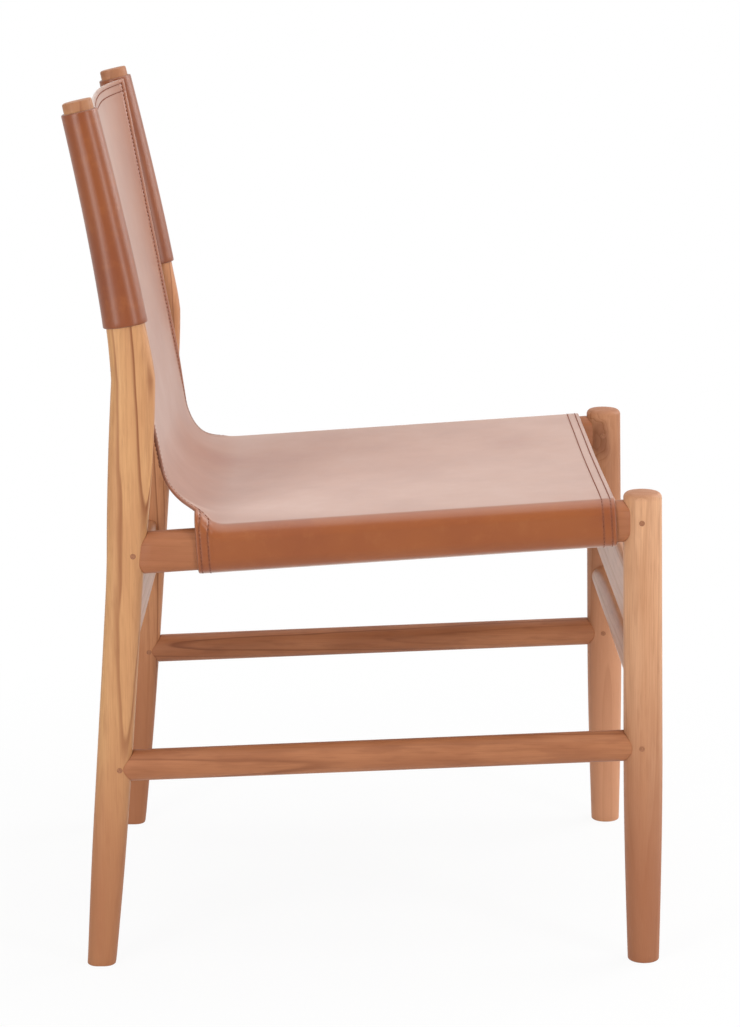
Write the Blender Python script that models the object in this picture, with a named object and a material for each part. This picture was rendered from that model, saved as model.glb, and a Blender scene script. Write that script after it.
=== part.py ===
"""Dining chair: a teak frame that carries one leather sling as its seat and back.

Metres, +Z up. The chair faces -Y and is symmetric about the plane X = 0.
The origin is on the floor under the middle of the chair. The sitter's right side is at -X.
"""
import math

import bmesh
import bpy
from mathutils import Vector

# Plan of the frame
side_frame_spacing = 0.440
foot_spacing = 0.509
plan_offset = -0.0016
joint_gap = 0.0003
cut_overrun = 0.010
merge_share = 0.01
sharp_edge_angle = math.radians(35)

# Turned front legs
leg_height = 0.450
leg_lean = 0.0067
leg_top_radius = 0.0176
leg_belly_radius = 0.0181
leg_foot_radius = 0.0147
leg_taper_height = 0.200
leg_top_rounding = 0.0055
leg_crown_height = 0.0015
leg_foot_rounding = 0.0012
leg_facets = 28
leg_taper_steps = 6
leg_rounding_steps = 4

# Shaped back posts
post_height = 0.8054
post_knee_height = 0.555
post_foot_kick = 0.0404
post_knee_inset = 0.0404
post_top_rake = 0.0453
post_depth = 0.0405
post_thickness = 0.030
post_corner_radius = 0.0105
post_foot_rounding = 0.0012
post_top_rounding = 0.0012
post_kick_power = 1.15
post_rake_power = 1.25
post_corner_steps = 4
# Height up the post, and the depth there, as shares of the post's height and greatest depth
post_depth_shares = (
    (0.0, 0.66), (0.125, 0.765), (0.25, 0.80), (0.40, 0.815), (0.47, 0.835), (0.53, 0.93),
    (0.585, 0.985), (0.64, 1.0), (0.695, 0.965), (0.745, 0.865), (0.82, 0.785), (0.91, 0.71), (1.0, 0.65),
)
# Height up the post, and the thickness there, as shares of the post's height and thickness
post_thickness_shares = ((0.0, 0.86), (0.10, 0.93), (0.24, 0.985), (0.33, 1.0), (1.0, 1.0))

# Side seat rails, oval in section
side_rail_thickness = 0.026
side_rail_height = 0.0385
side_rail_corner_radius = 0.0115
side_rail_below_leg_top = 0.0276
side_rail_fall = 0.0290
side_rail_tenon_thickness = 0.012
side_rail_tenon_height = 0.024

# Turned side stretchers, below the front stretcher by the drop
side_stretcher_diameter = 0.029
side_stretcher_drop = 0.0347
side_stretcher_fall = 0.0186
side_stretcher_tenon_diameter = 0.018

# Rails and stretcher across the chair. A drop is the clear height between a bar and the one above it
front_rail_thickness = 0.020
front_rail_height = 0.058
front_rail_drop = 0.0432
front_rail_corner_radius = 0.006
front_rail_tenon_thickness = 0.010
front_rail_tenon_height = 0.042
back_rail_thickness = 0.020
back_rail_height = 0.058
back_rail_drop = 0.0392
back_rail_setback = 0.003
back_rail_corner_radius = 0.006
back_rail_tenon_thickness = 0.010
back_rail_tenon_height = 0.042
front_stretcher_diameter = 0.024
front_stretcher_drop = 0.019
front_stretcher_setback = 0.002
front_stretcher_tenon_diameter = 0.016
cross_tenon_end_wall = 0.007
bar_facets = 24
bar_corner_steps = 4
# The largest corner radius as a share of half its section, and a cross tenon's as a share of its thickness
corner_limit_share = 0.995
cross_tenon_corner_share = 0.25

# Pegs through the side joints
peg_diameter = 0.006
peg_behind_leg_face = 0.0155
peg_behind_post_face = 0.0105
peg_tenon_cover = 0.0065
peg_end_relief = 0.0003
peg_facets = 16

# Leather sling, with its sleeves on the posts
leather_thickness = 0.0028
sleeve_length = 0.192
sleeve_below_post_top = 0.009
sleeve_steps = 8
seat_front_gap = 0.0085
seat_wrap_rear_setback = 0.0462
seat_sag = 0.006
seat_front_sag = 0.002
back_bow = 0.010
corner_bow = 0.009
seat_bend_radius = 0.058
panel_recess_knee = 0.0110
panel_recess_top = 0.0052
panel_below_sleeve_top = 0.001
sling_seat_steps = 8
sling_bend_steps = 7
sling_back_steps = 8
sling_cross_steps = 12

# Finishes
teak_colour = (0.56, 0.34, 0.17, 1.0)
teak_roughness = 0.5
peg_colour = (0.36, 0.19, 0.09, 1.0)
leather_colour = (0.42, 0.17, 0.075, 1.0)
leather_roughness = 0.45

front_foot_y = plan_offset - foot_spacing / 2
rear_foot_y = plan_offset + foot_spacing / 2
side_x = side_frame_spacing / 2
side_rail_front_centre_height = leg_height - side_rail_below_leg_top
side_rail_rear_centre_height = side_rail_front_centre_height - side_rail_fall
front_rail_top = side_rail_front_centre_height - side_rail_height / 2 - front_rail_drop
front_rail_centre_height = front_rail_top - front_rail_height / 2
front_stretcher_top = front_rail_top - front_rail_height - front_stretcher_drop
front_stretcher_centre_height = front_stretcher_top - front_stretcher_diameter / 2
side_stretcher_top = front_stretcher_top - front_stretcher_diameter - side_stretcher_drop
side_stretcher_front_height = side_stretcher_top - side_stretcher_diameter / 2
side_stretcher_rear_height = side_stretcher_front_height - side_stretcher_fall
back_rail_top = side_rail_rear_centre_height - side_rail_height / 2 - back_rail_drop
back_rail_centre_height = back_rail_top - back_rail_height / 2
sleeve_top_height = post_height - sleeve_below_post_top
sleeve_bottom_height = sleeve_top_height - sleeve_length
full_turn = 2 * math.pi
quarter_turn = math.pi / 2


def clear_scene():
    """Removes every object that the scene starts with."""
    for old in list(bpy.data.objects):
        bpy.data.objects.remove(old, do_unlink=True)


def finish(name, colour, roughness):
    """A plain Principled material."""
    material = bpy.data.materials.new(name)
    material.use_nodes = True
    shader = material.node_tree.nodes["Principled BSDF"]
    shader.inputs["Base Color"].default_value = colour
    shader.inputs["Roughness"].default_value = roughness
    shader.inputs["Metallic"].default_value = 0.0
    return material


def add_object(name, bm, material=None):
    """Turns a bmesh into a named object, with its faces pointing out."""
    bmesh.ops.recalc_face_normals(bm, faces=bm.faces)
    mesh = bpy.data.meshes.new(name)
    bm.to_mesh(mesh)
    bm.free()
    if material:
        mesh.materials.append(material)
    mesh.shade_smooth()
    mesh.set_sharp_from_angle(angle=sharp_edge_angle)
    thing = bpy.data.objects.new(name, mesh)
    bpy.context.scene.collection.objects.link(thing)
    return thing


def as_cutter(thing):
    """Marks an object as a cutting guide, which is no part of the chair."""
    thing.hide_render = True
    thing.display_type = "WIRE"
    return thing


def combine(target, tool, operation):
    """Adds an exact Boolean of the target with the tool."""
    modifier = target.modifiers.new(f"{operation.lower()} {tool.name}", "BOOLEAN")
    modifier.solver = "EXACT"
    modifier.operation = operation
    modifier.object = tool


def interpolate(table, share):
    """Smoothly read value from a table of (place, value), with flat tangents at its ends."""
    if share <= table[0][0]:
        return table[0][1]
    for index in range(len(table) - 1):
        (low, low_value), (high, high_value) = table[index], table[index + 1]
        if share <= high:
            before = table[max(index - 1, 0)]
            after = table[min(index + 2, len(table) - 1)]
            span = high - low
            low_slope = (high_value - before[1]) / (high - before[0]) * span
            high_slope = (after[1] - low_value) / (after[0] - low) * span
            t = (share - low) / span
            rise = high_value - low_value
            return (low_value + low_slope * t + (3 * rise - 2 * low_slope - high_slope) * t ** 2
                    + (low_slope + high_slope - 2 * rise) * t ** 3)
    return table[-1][1]


def rounded_section(width, height, radius, steps):
    """Points of a rounded rectangle, centred on zero and run anticlockwise."""
    radius = min(radius, width / 2 * corner_limit_share, height / 2 * corner_limit_share)
    points = []
    for corner in range(4):
        side = 1 if corner in (0, 3) else -1
        top = 1 if corner in (0, 1) else -1
        centre = (side * (width / 2 - radius), top * (height / 2 - radius))
        for step in range(steps + 1):
            angle = quarter_turn * (corner + step / steps)
            points.append((centre[0] + radius * math.cos(angle), centre[1] + radius * math.sin(angle)))
    return points


def round_section(diameter, facets):
    """Points of a circle, centred on zero and run anticlockwise."""
    points = []
    for index in range(facets):
        angle = full_turn * (index + 0.5) / facets
        points.append((diameter / 2 * math.cos(angle), diameter / 2 * math.sin(angle)))
    return points


def loft(rings, closed=False):
    """A bmesh skin through rings of equally many points, with capped ends unless it closes on itself."""
    bm = bmesh.new()
    rows = [[bm.verts.new(point) for point in ring] for ring in rings]
    count = len(rows[0])
    pairs = list(zip(rows, rows[1:]))
    if closed:
        pairs.append((rows[-1], rows[0]))
    for lower, upper in pairs:
        for index in range(count):
            after = (index + 1) % count
            bm.faces.new((lower[index], lower[after], upper[after], upper[index]))
    if not closed:
        bm.faces.new(reversed(rows[0]))
        bm.faces.new(rows[-1])
    return bm


def leg_axis_y(height):
    """Where the front leg's axis stands, seen from the side."""
    return front_foot_y + leg_lean * height / leg_height


def leg_radius(height):
    """The front leg's radius at a height, without its rounded ends."""
    if height < leg_taper_height:
        share = math.sin(quarter_turn * height / leg_taper_height)
        return leg_foot_radius + (leg_belly_radius - leg_foot_radius) * share
    share = (height - leg_taper_height) / (leg_height - leg_taper_height)
    return leg_belly_radius + (leg_top_radius - leg_belly_radius) * share


def leg_profile(grow):
    """Radius and height of the turned leg from the floor to its crown, grown by a clearance."""
    foot_radius = leg_radius(0)
    sole_radius = foot_radius - leg_foot_rounding
    points = [(0, -grow), (sole_radius + grow, -grow), (foot_radius + grow, leg_foot_rounding)]
    for step in range(1, leg_taper_steps + 1):
        height = leg_taper_height * step / leg_taper_steps
        points.append((leg_radius(height) + grow, height))
    shoulder = leg_height - leg_top_rounding - leg_crown_height
    points.append((leg_radius(shoulder) + grow, shoulder))
    for step in range(1, leg_rounding_steps + 1):
        angle = quarter_turn * step / leg_rounding_steps
        radius = leg_radius(shoulder) - leg_top_rounding * (1 - math.cos(angle)) + grow
        points.append((radius, shoulder + leg_top_rounding * math.sin(angle) + grow * math.sin(angle)))
    points.append((0, leg_height + grow))
    return points


def leg_body(grow=0):
    """The turned leg about its foot, sheared so that its foot stays flat on the floor."""
    bm = bmesh.new()
    verts = [bm.verts.new((radius, 0, height)) for radius, height in leg_profile(grow)]
    edges = [bm.edges.new(pair) for pair in zip(verts, verts[1:])]
    bmesh.ops.spin(bm, geom=verts + edges, cent=(0, 0, 0), axis=(0, 0, 1), angle=full_turn,
                   steps=leg_facets, use_merge=True)
    bmesh.ops.remove_doubles(bm, verts=bm.verts, dist=joint_gap * merge_share)
    for vert in bm.verts:
        vert.co.y += leg_lean * vert.co.z / leg_height
    return bm


def post_axis_y(height):
    """Where the back post's axis stands, seen from the side: back at its foot, and leaning back above."""
    knee_y = rear_foot_y - post_knee_inset
    if height < post_knee_height:
        return knee_y + post_foot_kick * (1 - height / post_knee_height) ** post_kick_power
    share = (height - post_knee_height) / (post_height - post_knee_height)
    return knee_y + post_top_rake * share ** post_rake_power


def post_tilt(height):
    """How far the post's section tips back with its axis: none below the knee."""
    if height <= post_knee_height:
        return 0.0
    raked_height = post_height - post_knee_height
    share = (height - post_knee_height) / raked_height
    return math.atan(post_top_rake / raked_height * post_rake_power * share ** (post_rake_power - 1))


def post_depth_at(height):
    """The post's size from front to back."""
    return post_depth * interpolate(post_depth_shares, height / post_height)


def post_front_y(height):
    """The post's front face at a height."""
    return post_axis_y(height) - post_depth_at(height) / 2 * math.cos(post_tilt(height))


def post_ring(height, grow=0):
    """The post's rounded section at a height on its axis, in the post's own frame, grown by a clearance."""
    width = post_thickness * interpolate(post_thickness_shares, height / post_height) + 2 * grow
    depth = post_depth_at(height) + 2 * grow
    tilt = post_tilt(height)
    axis_y = post_axis_y(height) - rear_foot_y
    ring = []
    for across, back in rounded_section(width, depth, post_corner_radius + grow, post_corner_steps):
        ring.append(Vector((across, axis_y + back * math.cos(tilt), height - back * math.sin(tilt))))
    return ring


def post_body(grow=0):
    """The whole post about its foot."""
    shares = [share for share, _ in post_depth_shares]
    middles = [(low + high) / 2 for low, high in zip(shares[3:-1], shares[4:])]
    heights = [share * post_height for share in sorted(shares[1:-1] + middles)]
    foot_ring = [Vector((p.x, p.y, -grow)) for p in post_ring(0, grow - post_foot_rounding)]
    rings = [foot_ring, post_ring(post_foot_rounding, grow)]
    rings += [post_ring(height, grow) for height in heights]
    rings.append(post_ring(post_height - post_top_rounding, grow))
    rings.append(post_ring(post_height + grow, grow - post_top_rounding))
    return loft(rings)


def sleeve_body():
    """A leather sleeve round the post, open at both ends, in the post's own frame."""
    rise = sleeve_length / sleeve_steps
    heights = [sleeve_bottom_height + rise * step for step in range(sleeve_steps + 1)]
    outer = [post_ring(height, joint_gap + leather_thickness) for height in heights]
    inner = [post_ring(height, joint_gap) for height in reversed(heights)]
    return loft(outer + inner, closed=True)


def place_along(thing, start, end):
    """Puts a bar's zero at its start and turns its own X axis towards its end."""
    thing.location = start
    thing.rotation_mode = "QUATERNION"
    thing.rotation_quaternion = (end - start).to_track_quat("X", "Z")
    return thing


def bar(name, section, start, end, before=0, beyond=0, material=None):
    """A straight bar of one section, run past both of its ends when asked."""
    length = (end - start).length
    rings = []
    for place in (-before, length + beyond):
        rings.append([Vector((place, across, up)) for across, up in section])
    return place_along(add_object(name, loft(rings), material), start, end)


def side_of(label):
    """The sign of X for the left or the right side."""
    return 1 if label == "left" else -1


def framed_bar(name, sections, joints, body_ends, tenon_ends, material):
    """A bar whose shoulders are coped to what it meets, with a tenon at each end and a mortise for it.

    sections holds the outlines of the bar, its tenons and their mortises.
    joints holds, for each end, the axis point, the clearance solid that copes it and the solid to mortise.
    body_ends and tenon_ends say how far the bar and its tenon run past, or stop short of, each axis point.
    """
    body_section, tenon_section, mortise_section = sections
    (start, start_cope, start_body), (end, end_cope, end_body) = joints
    thing = bar(name, body_section, start, end, *body_ends, material=material)
    combine(thing, start_cope, "DIFFERENCE")
    combine(thing, end_cope, "DIFFERENCE")
    tenon = as_cutter(bar(f"guide_tenon_{name}", tenon_section, start, end, *tenon_ends))
    combine(thing, tenon, "UNION")
    mortise_ends = [reach + joint_gap for reach in tenon_ends]
    mortise = as_cutter(bar(f"guide_mortise_{name}", mortise_section, start, end, *mortise_ends))
    combine(start_body, mortise, "DIFFERENCE")
    combine(end_body, mortise, "DIFFERENCE")
    return thing


def add_peg(name, centre, length, pierced, material):
    """A round peg across the chair, and its hole through everything that it pierces."""
    half = Vector((length / 2, 0, 0))
    start = centre - half
    end = centre + half
    bar(name, round_section(peg_diameter, peg_facets), start, end, material=material)
    hole_section = round_section(peg_diameter + 2 * joint_gap, peg_facets)
    hole = as_cutter(bar(f"guide_hole_{name}", hole_section, start, end, cut_overrun, cut_overrun))
    for thing in pierced:
        combine(thing, hole, "DIFFERENCE")


def point_on_line(start, end, y):
    """The point of a side bar's axis at a given Y."""
    return start + (end - start) * ((y - start.y) / (end.y - start.y))


def oblong_sections(thickness, height, corner_radius, tenon_thickness, tenon_height, tenon_corner_radius):
    """Outlines of a rounded oblong bar, its tenons and their mortises."""
    body = rounded_section(thickness, height, corner_radius, bar_corner_steps)
    tenon = rounded_section(tenon_thickness, tenon_height, tenon_corner_radius, bar_corner_steps)
    mortise = rounded_section(tenon_thickness + 2 * joint_gap, tenon_height + 2 * joint_gap,
                              tenon_corner_radius + joint_gap, bar_corner_steps)
    return body, tenon, mortise


def turned_sections(diameter, tenon_diameter):
    """Outlines of a turned bar, its tenons and their mortises."""
    mortise_diameter = tenon_diameter + 2 * joint_gap
    return tuple(round_section(size, bar_facets) for size in (diameter, tenon_diameter, mortise_diameter))


def add_side_frame(label, teak, peg_wood):
    """Front leg, back post, seat rail, stretcher and pegs of one side. Gives back what cross bars join."""
    x = side_of(label) * side_x
    leg = add_object(f"front_leg_{label}", leg_body(), teak)
    leg_clearance = as_cutter(add_object(f"guide_leg_{label}", leg_body(joint_gap)))
    post = add_object(f"back_post_{label}", post_body(), teak)
    post_clearance = as_cutter(add_object(f"guide_post_{label}", post_body(joint_gap)))
    for thing in (leg, leg_clearance):
        thing.location = (x, front_foot_y, 0)
    for thing in (post, post_clearance):
        thing.location = (x, rear_foot_y, 0)

    bars = (
        ("side_rail", side_rail_front_centre_height, side_rail_rear_centre_height,
         oblong_sections(side_rail_thickness, side_rail_height, side_rail_corner_radius,
                         side_rail_tenon_thickness, side_rail_tenon_height, side_rail_tenon_thickness / 2)),
        ("side_stretcher", side_stretcher_front_height, side_stretcher_rear_height,
         turned_sections(side_stretcher_diameter, side_stretcher_tenon_diameter)),
    )
    for kind, front_height, rear_height, sections in bars:
        start = Vector((x, leg_axis_y(front_height), front_height))
        end = Vector((x, post_axis_y(rear_height), rear_height))
        front_peg_y = start.y + leg_radius(front_height) - peg_behind_leg_face
        rear_peg_y = post_front_y(rear_height) + peg_behind_post_face
        body_ends = (0, post_front_y(rear_height) + post_corner_radius - end.y)
        tenon_ends = (start.y - front_peg_y + peg_tenon_cover, rear_peg_y + peg_tenon_cover - end.y)
        joints = ((start, leg_clearance, leg), (end, post_clearance, post))
        thing = framed_bar(f"{kind}_{label}", sections, joints, body_ends, tenon_ends, teak)
        front_point = point_on_line(start, end, front_peg_y)
        rear_point = point_on_line(start, end, rear_peg_y)
        leg_width = 2 * leg_radius(front_height)
        post_width = post_thickness * interpolate(post_thickness_shares, rear_height / post_height)
        pegs = (("front", front_point, leg_width, leg), ("rear", rear_point, post_width, post))
        for end_label, centre, width, upright in pegs:
            name = f"peg_{kind}_{end_label}_{label}"
            add_peg(name, centre, width - 2 * peg_end_relief, (upright, thing), peg_wood)
    return leg, leg_clearance, post, post_clearance


def add_cross_bars(left, right, teak):
    """Front rail, back rail and front stretcher between the two side frames."""
    left_leg, left_leg_clearance, left_post, left_post_clearance = left
    right_leg, right_leg_clearance, right_post, right_post_clearance = right
    leg_joints = ((right_leg_clearance, right_leg), (left_leg_clearance, left_leg))
    post_joints = ((right_post_clearance, right_post), (left_post_clearance, left_post))
    leg_reach = leg_radius(front_rail_centre_height) - cross_tenon_end_wall
    post_reach = post_thickness / 2 - cross_tenon_end_wall
    bars = (
        ("front_rail", leg_axis_y(front_rail_centre_height), front_rail_centre_height, leg_joints, leg_reach,
         oblong_sections(front_rail_thickness, front_rail_height, front_rail_corner_radius,
                         front_rail_tenon_thickness, front_rail_tenon_height,
                         front_rail_tenon_thickness * cross_tenon_corner_share)),
        ("front_stretcher", leg_axis_y(front_stretcher_centre_height) + front_stretcher_setback,
         front_stretcher_centre_height, leg_joints, leg_reach,
         turned_sections(front_stretcher_diameter, front_stretcher_tenon_diameter)),
        ("back_rail", post_axis_y(back_rail_centre_height) + back_rail_setback, back_rail_centre_height,
         post_joints, post_reach,
         oblong_sections(back_rail_thickness, back_rail_height, back_rail_corner_radius,
                         back_rail_tenon_thickness, back_rail_tenon_height,
                         back_rail_tenon_thickness * cross_tenon_corner_share)),
    )
    for name, y, height, ends, reach, sections in bars:
        start = Vector((-side_x, y, height))
        end = Vector((side_x, y, height))
        joints = ((start, *ends[0]), (end, *ends[1]))
        framed_bar(name, sections, joints, (0, 0), (reach, reach), teak)


def side_rail_line():
    """Front and rear ends of the side rail's axis, seen from the side."""
    front = Vector((leg_axis_y(side_rail_front_centre_height), side_rail_front_centre_height))
    rear = Vector((post_axis_y(side_rail_rear_centre_height), side_rail_rear_centre_height))
    return front, rear


def side_rail_centre_height(y):
    """The height of the side rail's axis at a place along it."""
    front, rear = side_rail_line()
    return front.y + (rear.y - front.y) * (y - front.x) / (rear.x - front.x)


def side_rail_half_height():
    """Half the rail's height measured upright, a little more than square to its slope."""
    front, rear = side_rail_line()
    slope = (front.y - rear.y) / (rear.x - front.x)
    return side_rail_height / 2 * math.sqrt(1 + slope ** 2)


def seat_underside(y):
    """The underside of the leather where it crosses the crown of a side rail."""
    return side_rail_centre_height(y) + side_rail_half_height() + joint_gap


def wrap_end_y():
    """Where the leather stops wrapping the side rail, ahead of the back post."""
    return post_front_y(side_rail_rear_centre_height) - seat_wrap_rear_setback


def sling_side_path():
    """Side view of the leather's underside and rear face along its edge, as (point, kind, share)."""
    leg_rear_y = leg_axis_y(side_rail_front_centre_height) + leg_radius(side_rail_front_centre_height)
    front_y = leg_rear_y + seat_front_gap
    knee_y = post_front_y(post_knee_height) + panel_recess_knee + leather_thickness
    top_y = post_front_y(sleeve_top_height) + panel_recess_top + leather_thickness
    front_point = Vector((front_y, seat_underside(front_y)))
    knee_point = Vector((knee_y, post_knee_height))
    top_point = Vector((top_y, sleeve_top_height - panel_below_sleeve_top))
    rail_front, rail_rear = side_rail_line()
    seat_direction = (rail_rear - rail_front).normalized()
    back_direction = (top_point - knee_point).normalized()
    offset = knee_point - front_point
    turn = seat_direction.x * back_direction.y - seat_direction.y * back_direction.x
    seat_length = (offset.x * back_direction.y - offset.y * back_direction.x) / turn
    corner = front_point + seat_direction * seat_length
    turn_angle = math.atan2(turn, seat_direction.dot(back_direction))
    tangent = seat_bend_radius * math.tan(turn_angle / 2)
    bend_start = corner - seat_direction * tangent
    bend_end = corner + back_direction * tangent
    up = Vector((-seat_direction.y, seat_direction.x))
    centre = bend_start + up * seat_bend_radius

    path = []
    for step in range(sling_seat_steps):
        share = step / sling_seat_steps
        path.append((front_point.lerp(bend_start, share), "seat", share))
    level = math.atan2(-seat_direction.y, seat_direction.x)
    wrap_share = (math.asin((wrap_end_y() - centre.x) / seat_bend_radius) + level) / turn_angle
    for share in sorted([step / sling_bend_steps for step in range(sling_bend_steps + 1)] + [wrap_share]):
        angle = turn_angle * share
        spoke = seat_direction * math.sin(angle) - up * math.cos(angle)
        path.append((centre + spoke * seat_bend_radius, "bend", share))
    for step in range(1, sling_back_steps + 1):
        share = step / sling_back_steps
        path.append((bend_end.lerp(top_point, share), "back", share))
    return path


def sling_bow(kind, share):
    """How far the middle of the leather gives behind its edges."""
    if kind == "seat":
        return seat_front_sag + (seat_sag - seat_front_sag) * math.sin(quarter_turn * share)
    if kind == "bend":
        return seat_sag + (corner_bow - seat_sag) * share
    return corner_bow + (back_bow - corner_bow) * share


def wrap_section():
    """Inner face of the leather round one side rail, as (out, up) from the rail's axis, crown first."""
    width = side_rail_thickness + 2 * joint_gap
    height = 2 * side_rail_half_height() + 2 * joint_gap
    radius = side_rail_corner_radius + joint_gap
    flat = width / 2 - radius
    points = [(-flat, height / 2)]
    for top, first in ((1, quarter_turn), (-1, 0)):
        for step in range(bar_corner_steps + 1):
            angle = first - quarter_turn * step / bar_corner_steps
            up = top * (height / 2 - radius) + radius * math.sin(angle)
            points.append((flat + radius * math.cos(angle), up))
    points.append((-flat, -height / 2))
    return points


def add_sling(leather):
    """Seat and back in one sheet: a web between the side frames, and a wrap round each side rail."""
    path = sling_side_path()
    edge_x = side_x - post_thickness / 2 - 2 * joint_gap - leather_thickness
    bm = bmesh.new()
    rows = []
    for index, (point, kind, share) in enumerate(path):
        before = path[max(index - 1, 0)][0]
        after = path[min(index + 1, len(path) - 1)][0]
        along = (after - before).normalized()
        away = Vector((along.y, -along.x))
        hold_x = {"seat": side_x, "bend": side_x + (edge_x - side_x) * share, "back": edge_x}[kind]
        row = []
        for step in range(sling_cross_steps + 1):
            x = edge_x * (2 * step / sling_cross_steps - 1)
            give = sling_bow(kind, share) * (1 - (x / hold_x) ** 2)
            row.append(bm.verts.new((x, point.x + away.x * give, point.y + away.y * give)))
        rows.append(row)
    for lower, upper in zip(rows, rows[1:]):
        for left, right in zip(range(sling_cross_steps), range(1, sling_cross_steps + 1)):
            bm.faces.new((lower[left], lower[right], upper[right], upper[left]))

    wrapped = [index for index, (point, _, _) in enumerate(path) if point.x < wrap_end_y() + joint_gap]
    section = wrap_section()
    rail_front, rail_rear = side_rail_line()
    rail_slope = (rail_front.y - rail_rear.y) / (rail_rear.x - rail_front.x)
    for side in (-1, 1):
        wraps = []
        for index in wrapped:
            point = path[index][0]
            edge = rows[index][0 if side < 0 else -1]
            lift = max(point.y - seat_underside(point.x), 0)
            square_share = (point.x - path[0][0].x) / (wrap_end_y() - path[0][0].x)
            wrap = [edge]
            for place, (out, up) in enumerate(section):
                drop = section[0][1] - up
                back = -drop * rail_slope * square_share
                # The leather leaves the rail's crown in two equal steps where it starts to climb
                climb = lift / 2 if place == 0 else 0
                height = side_rail_centre_height(point.x + back) + up + climb
                wrap.append(bm.verts.new((side * (side_x + out), point.x + back, height)))
            wraps.append(wrap)
        for lower, upper in zip(wraps, wraps[1:]):
            for inner, outer in zip(range(len(section)), range(1, len(section) + 1)):
                corners = (lower[inner], lower[outer], upper[outer], upper[inner])
                bm.faces.new(corners if side > 0 else tuple(reversed(corners)))

    mesh = bpy.data.meshes.new("leather_sling")
    bm.normal_update()
    bm.to_mesh(mesh)
    bm.free()
    mesh.materials.append(leather)
    mesh.shade_smooth()
    sling = bpy.data.objects.new("leather_sling", mesh)
    bpy.context.scene.collection.objects.link(sling)
    wall = sling.modifiers.new("leather thickness", "SOLIDIFY")
    wall.thickness = leather_thickness
    wall.offset = 1
    wall.use_even_offset = True
    return sling


def add_sleeve(label, leather):
    """The leather sleeve that holds the sling's back edge on one post."""
    sleeve = add_object(f"back_sleeve_{label}", sleeve_body(), leather)
    sleeve.location = (side_of(label) * side_x, rear_foot_y, 0)
    return sleeve


def main():
    """Builds the frame first, and then the leather that hangs on it."""
    clear_scene()
    teak = finish("teak", teak_colour, teak_roughness)
    peg_wood = finish("peg_wood", peg_colour, teak_roughness)
    leather = finish("saddle_leather", leather_colour, leather_roughness)
    frames = {label: add_side_frame(label, teak, peg_wood) for label in ("left", "right")}
    add_cross_bars(frames["left"], frames["right"], teak)
    add_sling(leather)
    for label in ("left", "right"):
        add_sleeve(label, leather)


main()
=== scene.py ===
"""Dressed model of a dining chair: a teak frame that carries a saddle leather sling.

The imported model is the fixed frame, in metres, +Z up. The chair faces -Y, and the camera stands on the
sitter's right, at -X. Every piece is built in place round the frame's own solids.
"""
from __future__ import annotations

import logging
import math
from dataclasses import dataclass, field, replace
from enum import Enum, IntEnum
from typing import Callable, Optional, Sequence, Union

import bmesh
import bpy
from mathutils import Matrix, Vector, noise


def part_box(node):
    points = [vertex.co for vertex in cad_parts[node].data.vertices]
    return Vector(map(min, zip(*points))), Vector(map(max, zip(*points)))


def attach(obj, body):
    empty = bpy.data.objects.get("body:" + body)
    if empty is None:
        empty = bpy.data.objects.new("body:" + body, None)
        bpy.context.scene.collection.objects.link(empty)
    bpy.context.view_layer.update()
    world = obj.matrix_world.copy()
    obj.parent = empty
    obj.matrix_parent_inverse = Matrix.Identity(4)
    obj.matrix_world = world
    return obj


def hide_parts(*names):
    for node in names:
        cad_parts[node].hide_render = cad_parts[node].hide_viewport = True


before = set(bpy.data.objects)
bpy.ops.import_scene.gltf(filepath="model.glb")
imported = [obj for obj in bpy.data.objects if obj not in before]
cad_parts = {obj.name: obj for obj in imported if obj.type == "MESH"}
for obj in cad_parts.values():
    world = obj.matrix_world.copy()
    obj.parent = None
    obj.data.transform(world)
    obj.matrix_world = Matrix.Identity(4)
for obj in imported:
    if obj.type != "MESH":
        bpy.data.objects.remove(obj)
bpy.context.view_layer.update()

log = logging.getLogger("chair")

Pair = tuple[float, float]
Triple = tuple[float, float, float]
Colour = tuple[float, float, float, float]

BODY = "root"
FULL_TURN = 2 * math.pi
QUARTER_TURN = math.pi / 2
WHITE = (1.0, 1.0, 1.0, 1.0)
NOWHERE = (0.0, 0.0, 0.0)
SHARP_ANGLE = math.radians(40)
HALVINGS = 40
LARGEST_CORNER = 0.998
LEATHER_THICKNESS = 0.0028
LEATHER_GAP = 0.0003
SLEEVE_TOP = 0.7964
SLEEVE_LENGTH = 0.192
SLEEVE_SOFTNESS = 0.0065


class Slot(Enum):
    """Material slot names, one for each kind of piece."""

    TEAK = "teak"
    PEG = "peg_wood"
    LEATHER = "leather"
    THREAD = "thread"
    TACK = "tack"


class Side(IntEnum):
    """A side of the chair, as a sitter has it, and as its sign along X."""

    LEFT = 1
    RIGHT = -1

    @property
    def label(self) -> str:
        """The side's word in the names of nodes and pieces."""
        return self.name.lower()

    @classmethod
    def of(cls, across: float) -> Side:
        """The side on which a distance across to the left lies."""
        return cls.LEFT if across >= 0 else cls.RIGHT


class Grain(Enum):
    """Which way the long grain of a piece of wood runs, as the turn that lays it along Z."""

    UPRIGHT = (0.0, 0.0, 0.0)
    FORE_AFT = (QUARTER_TURN, 0.0, 0.0)
    ACROSS = (0.0, -QUARTER_TURN, 0.0)


def smooth_share(value: float, low: float, high: float) -> float:
    """Eases from 0 at the low value to 1 at the high one."""
    share = min(max((value - low) / (high - low), 0.0), 1.0)
    return share * share * (3 - 2 * share)


def mix(low: float, high: float, share: float) -> float:
    """The value at a share of the way from low to high."""
    return low + (high - low) * share


def tone(*display: int) -> Colour:
    """A display colour in the linear values that a shader takes.

    Args:
        display: red, green and blue, from 0 to 255.

    Returns:
        Linear red, green and blue, and an alpha of 1.
    """
    shares = [part / 255 for part in display]
    linear = [share / 12.92 if share <= 0.04045 else ((share + 0.055) / 1.055) ** 2.4 for share in shares]
    return (*linear, 1.0)


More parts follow.
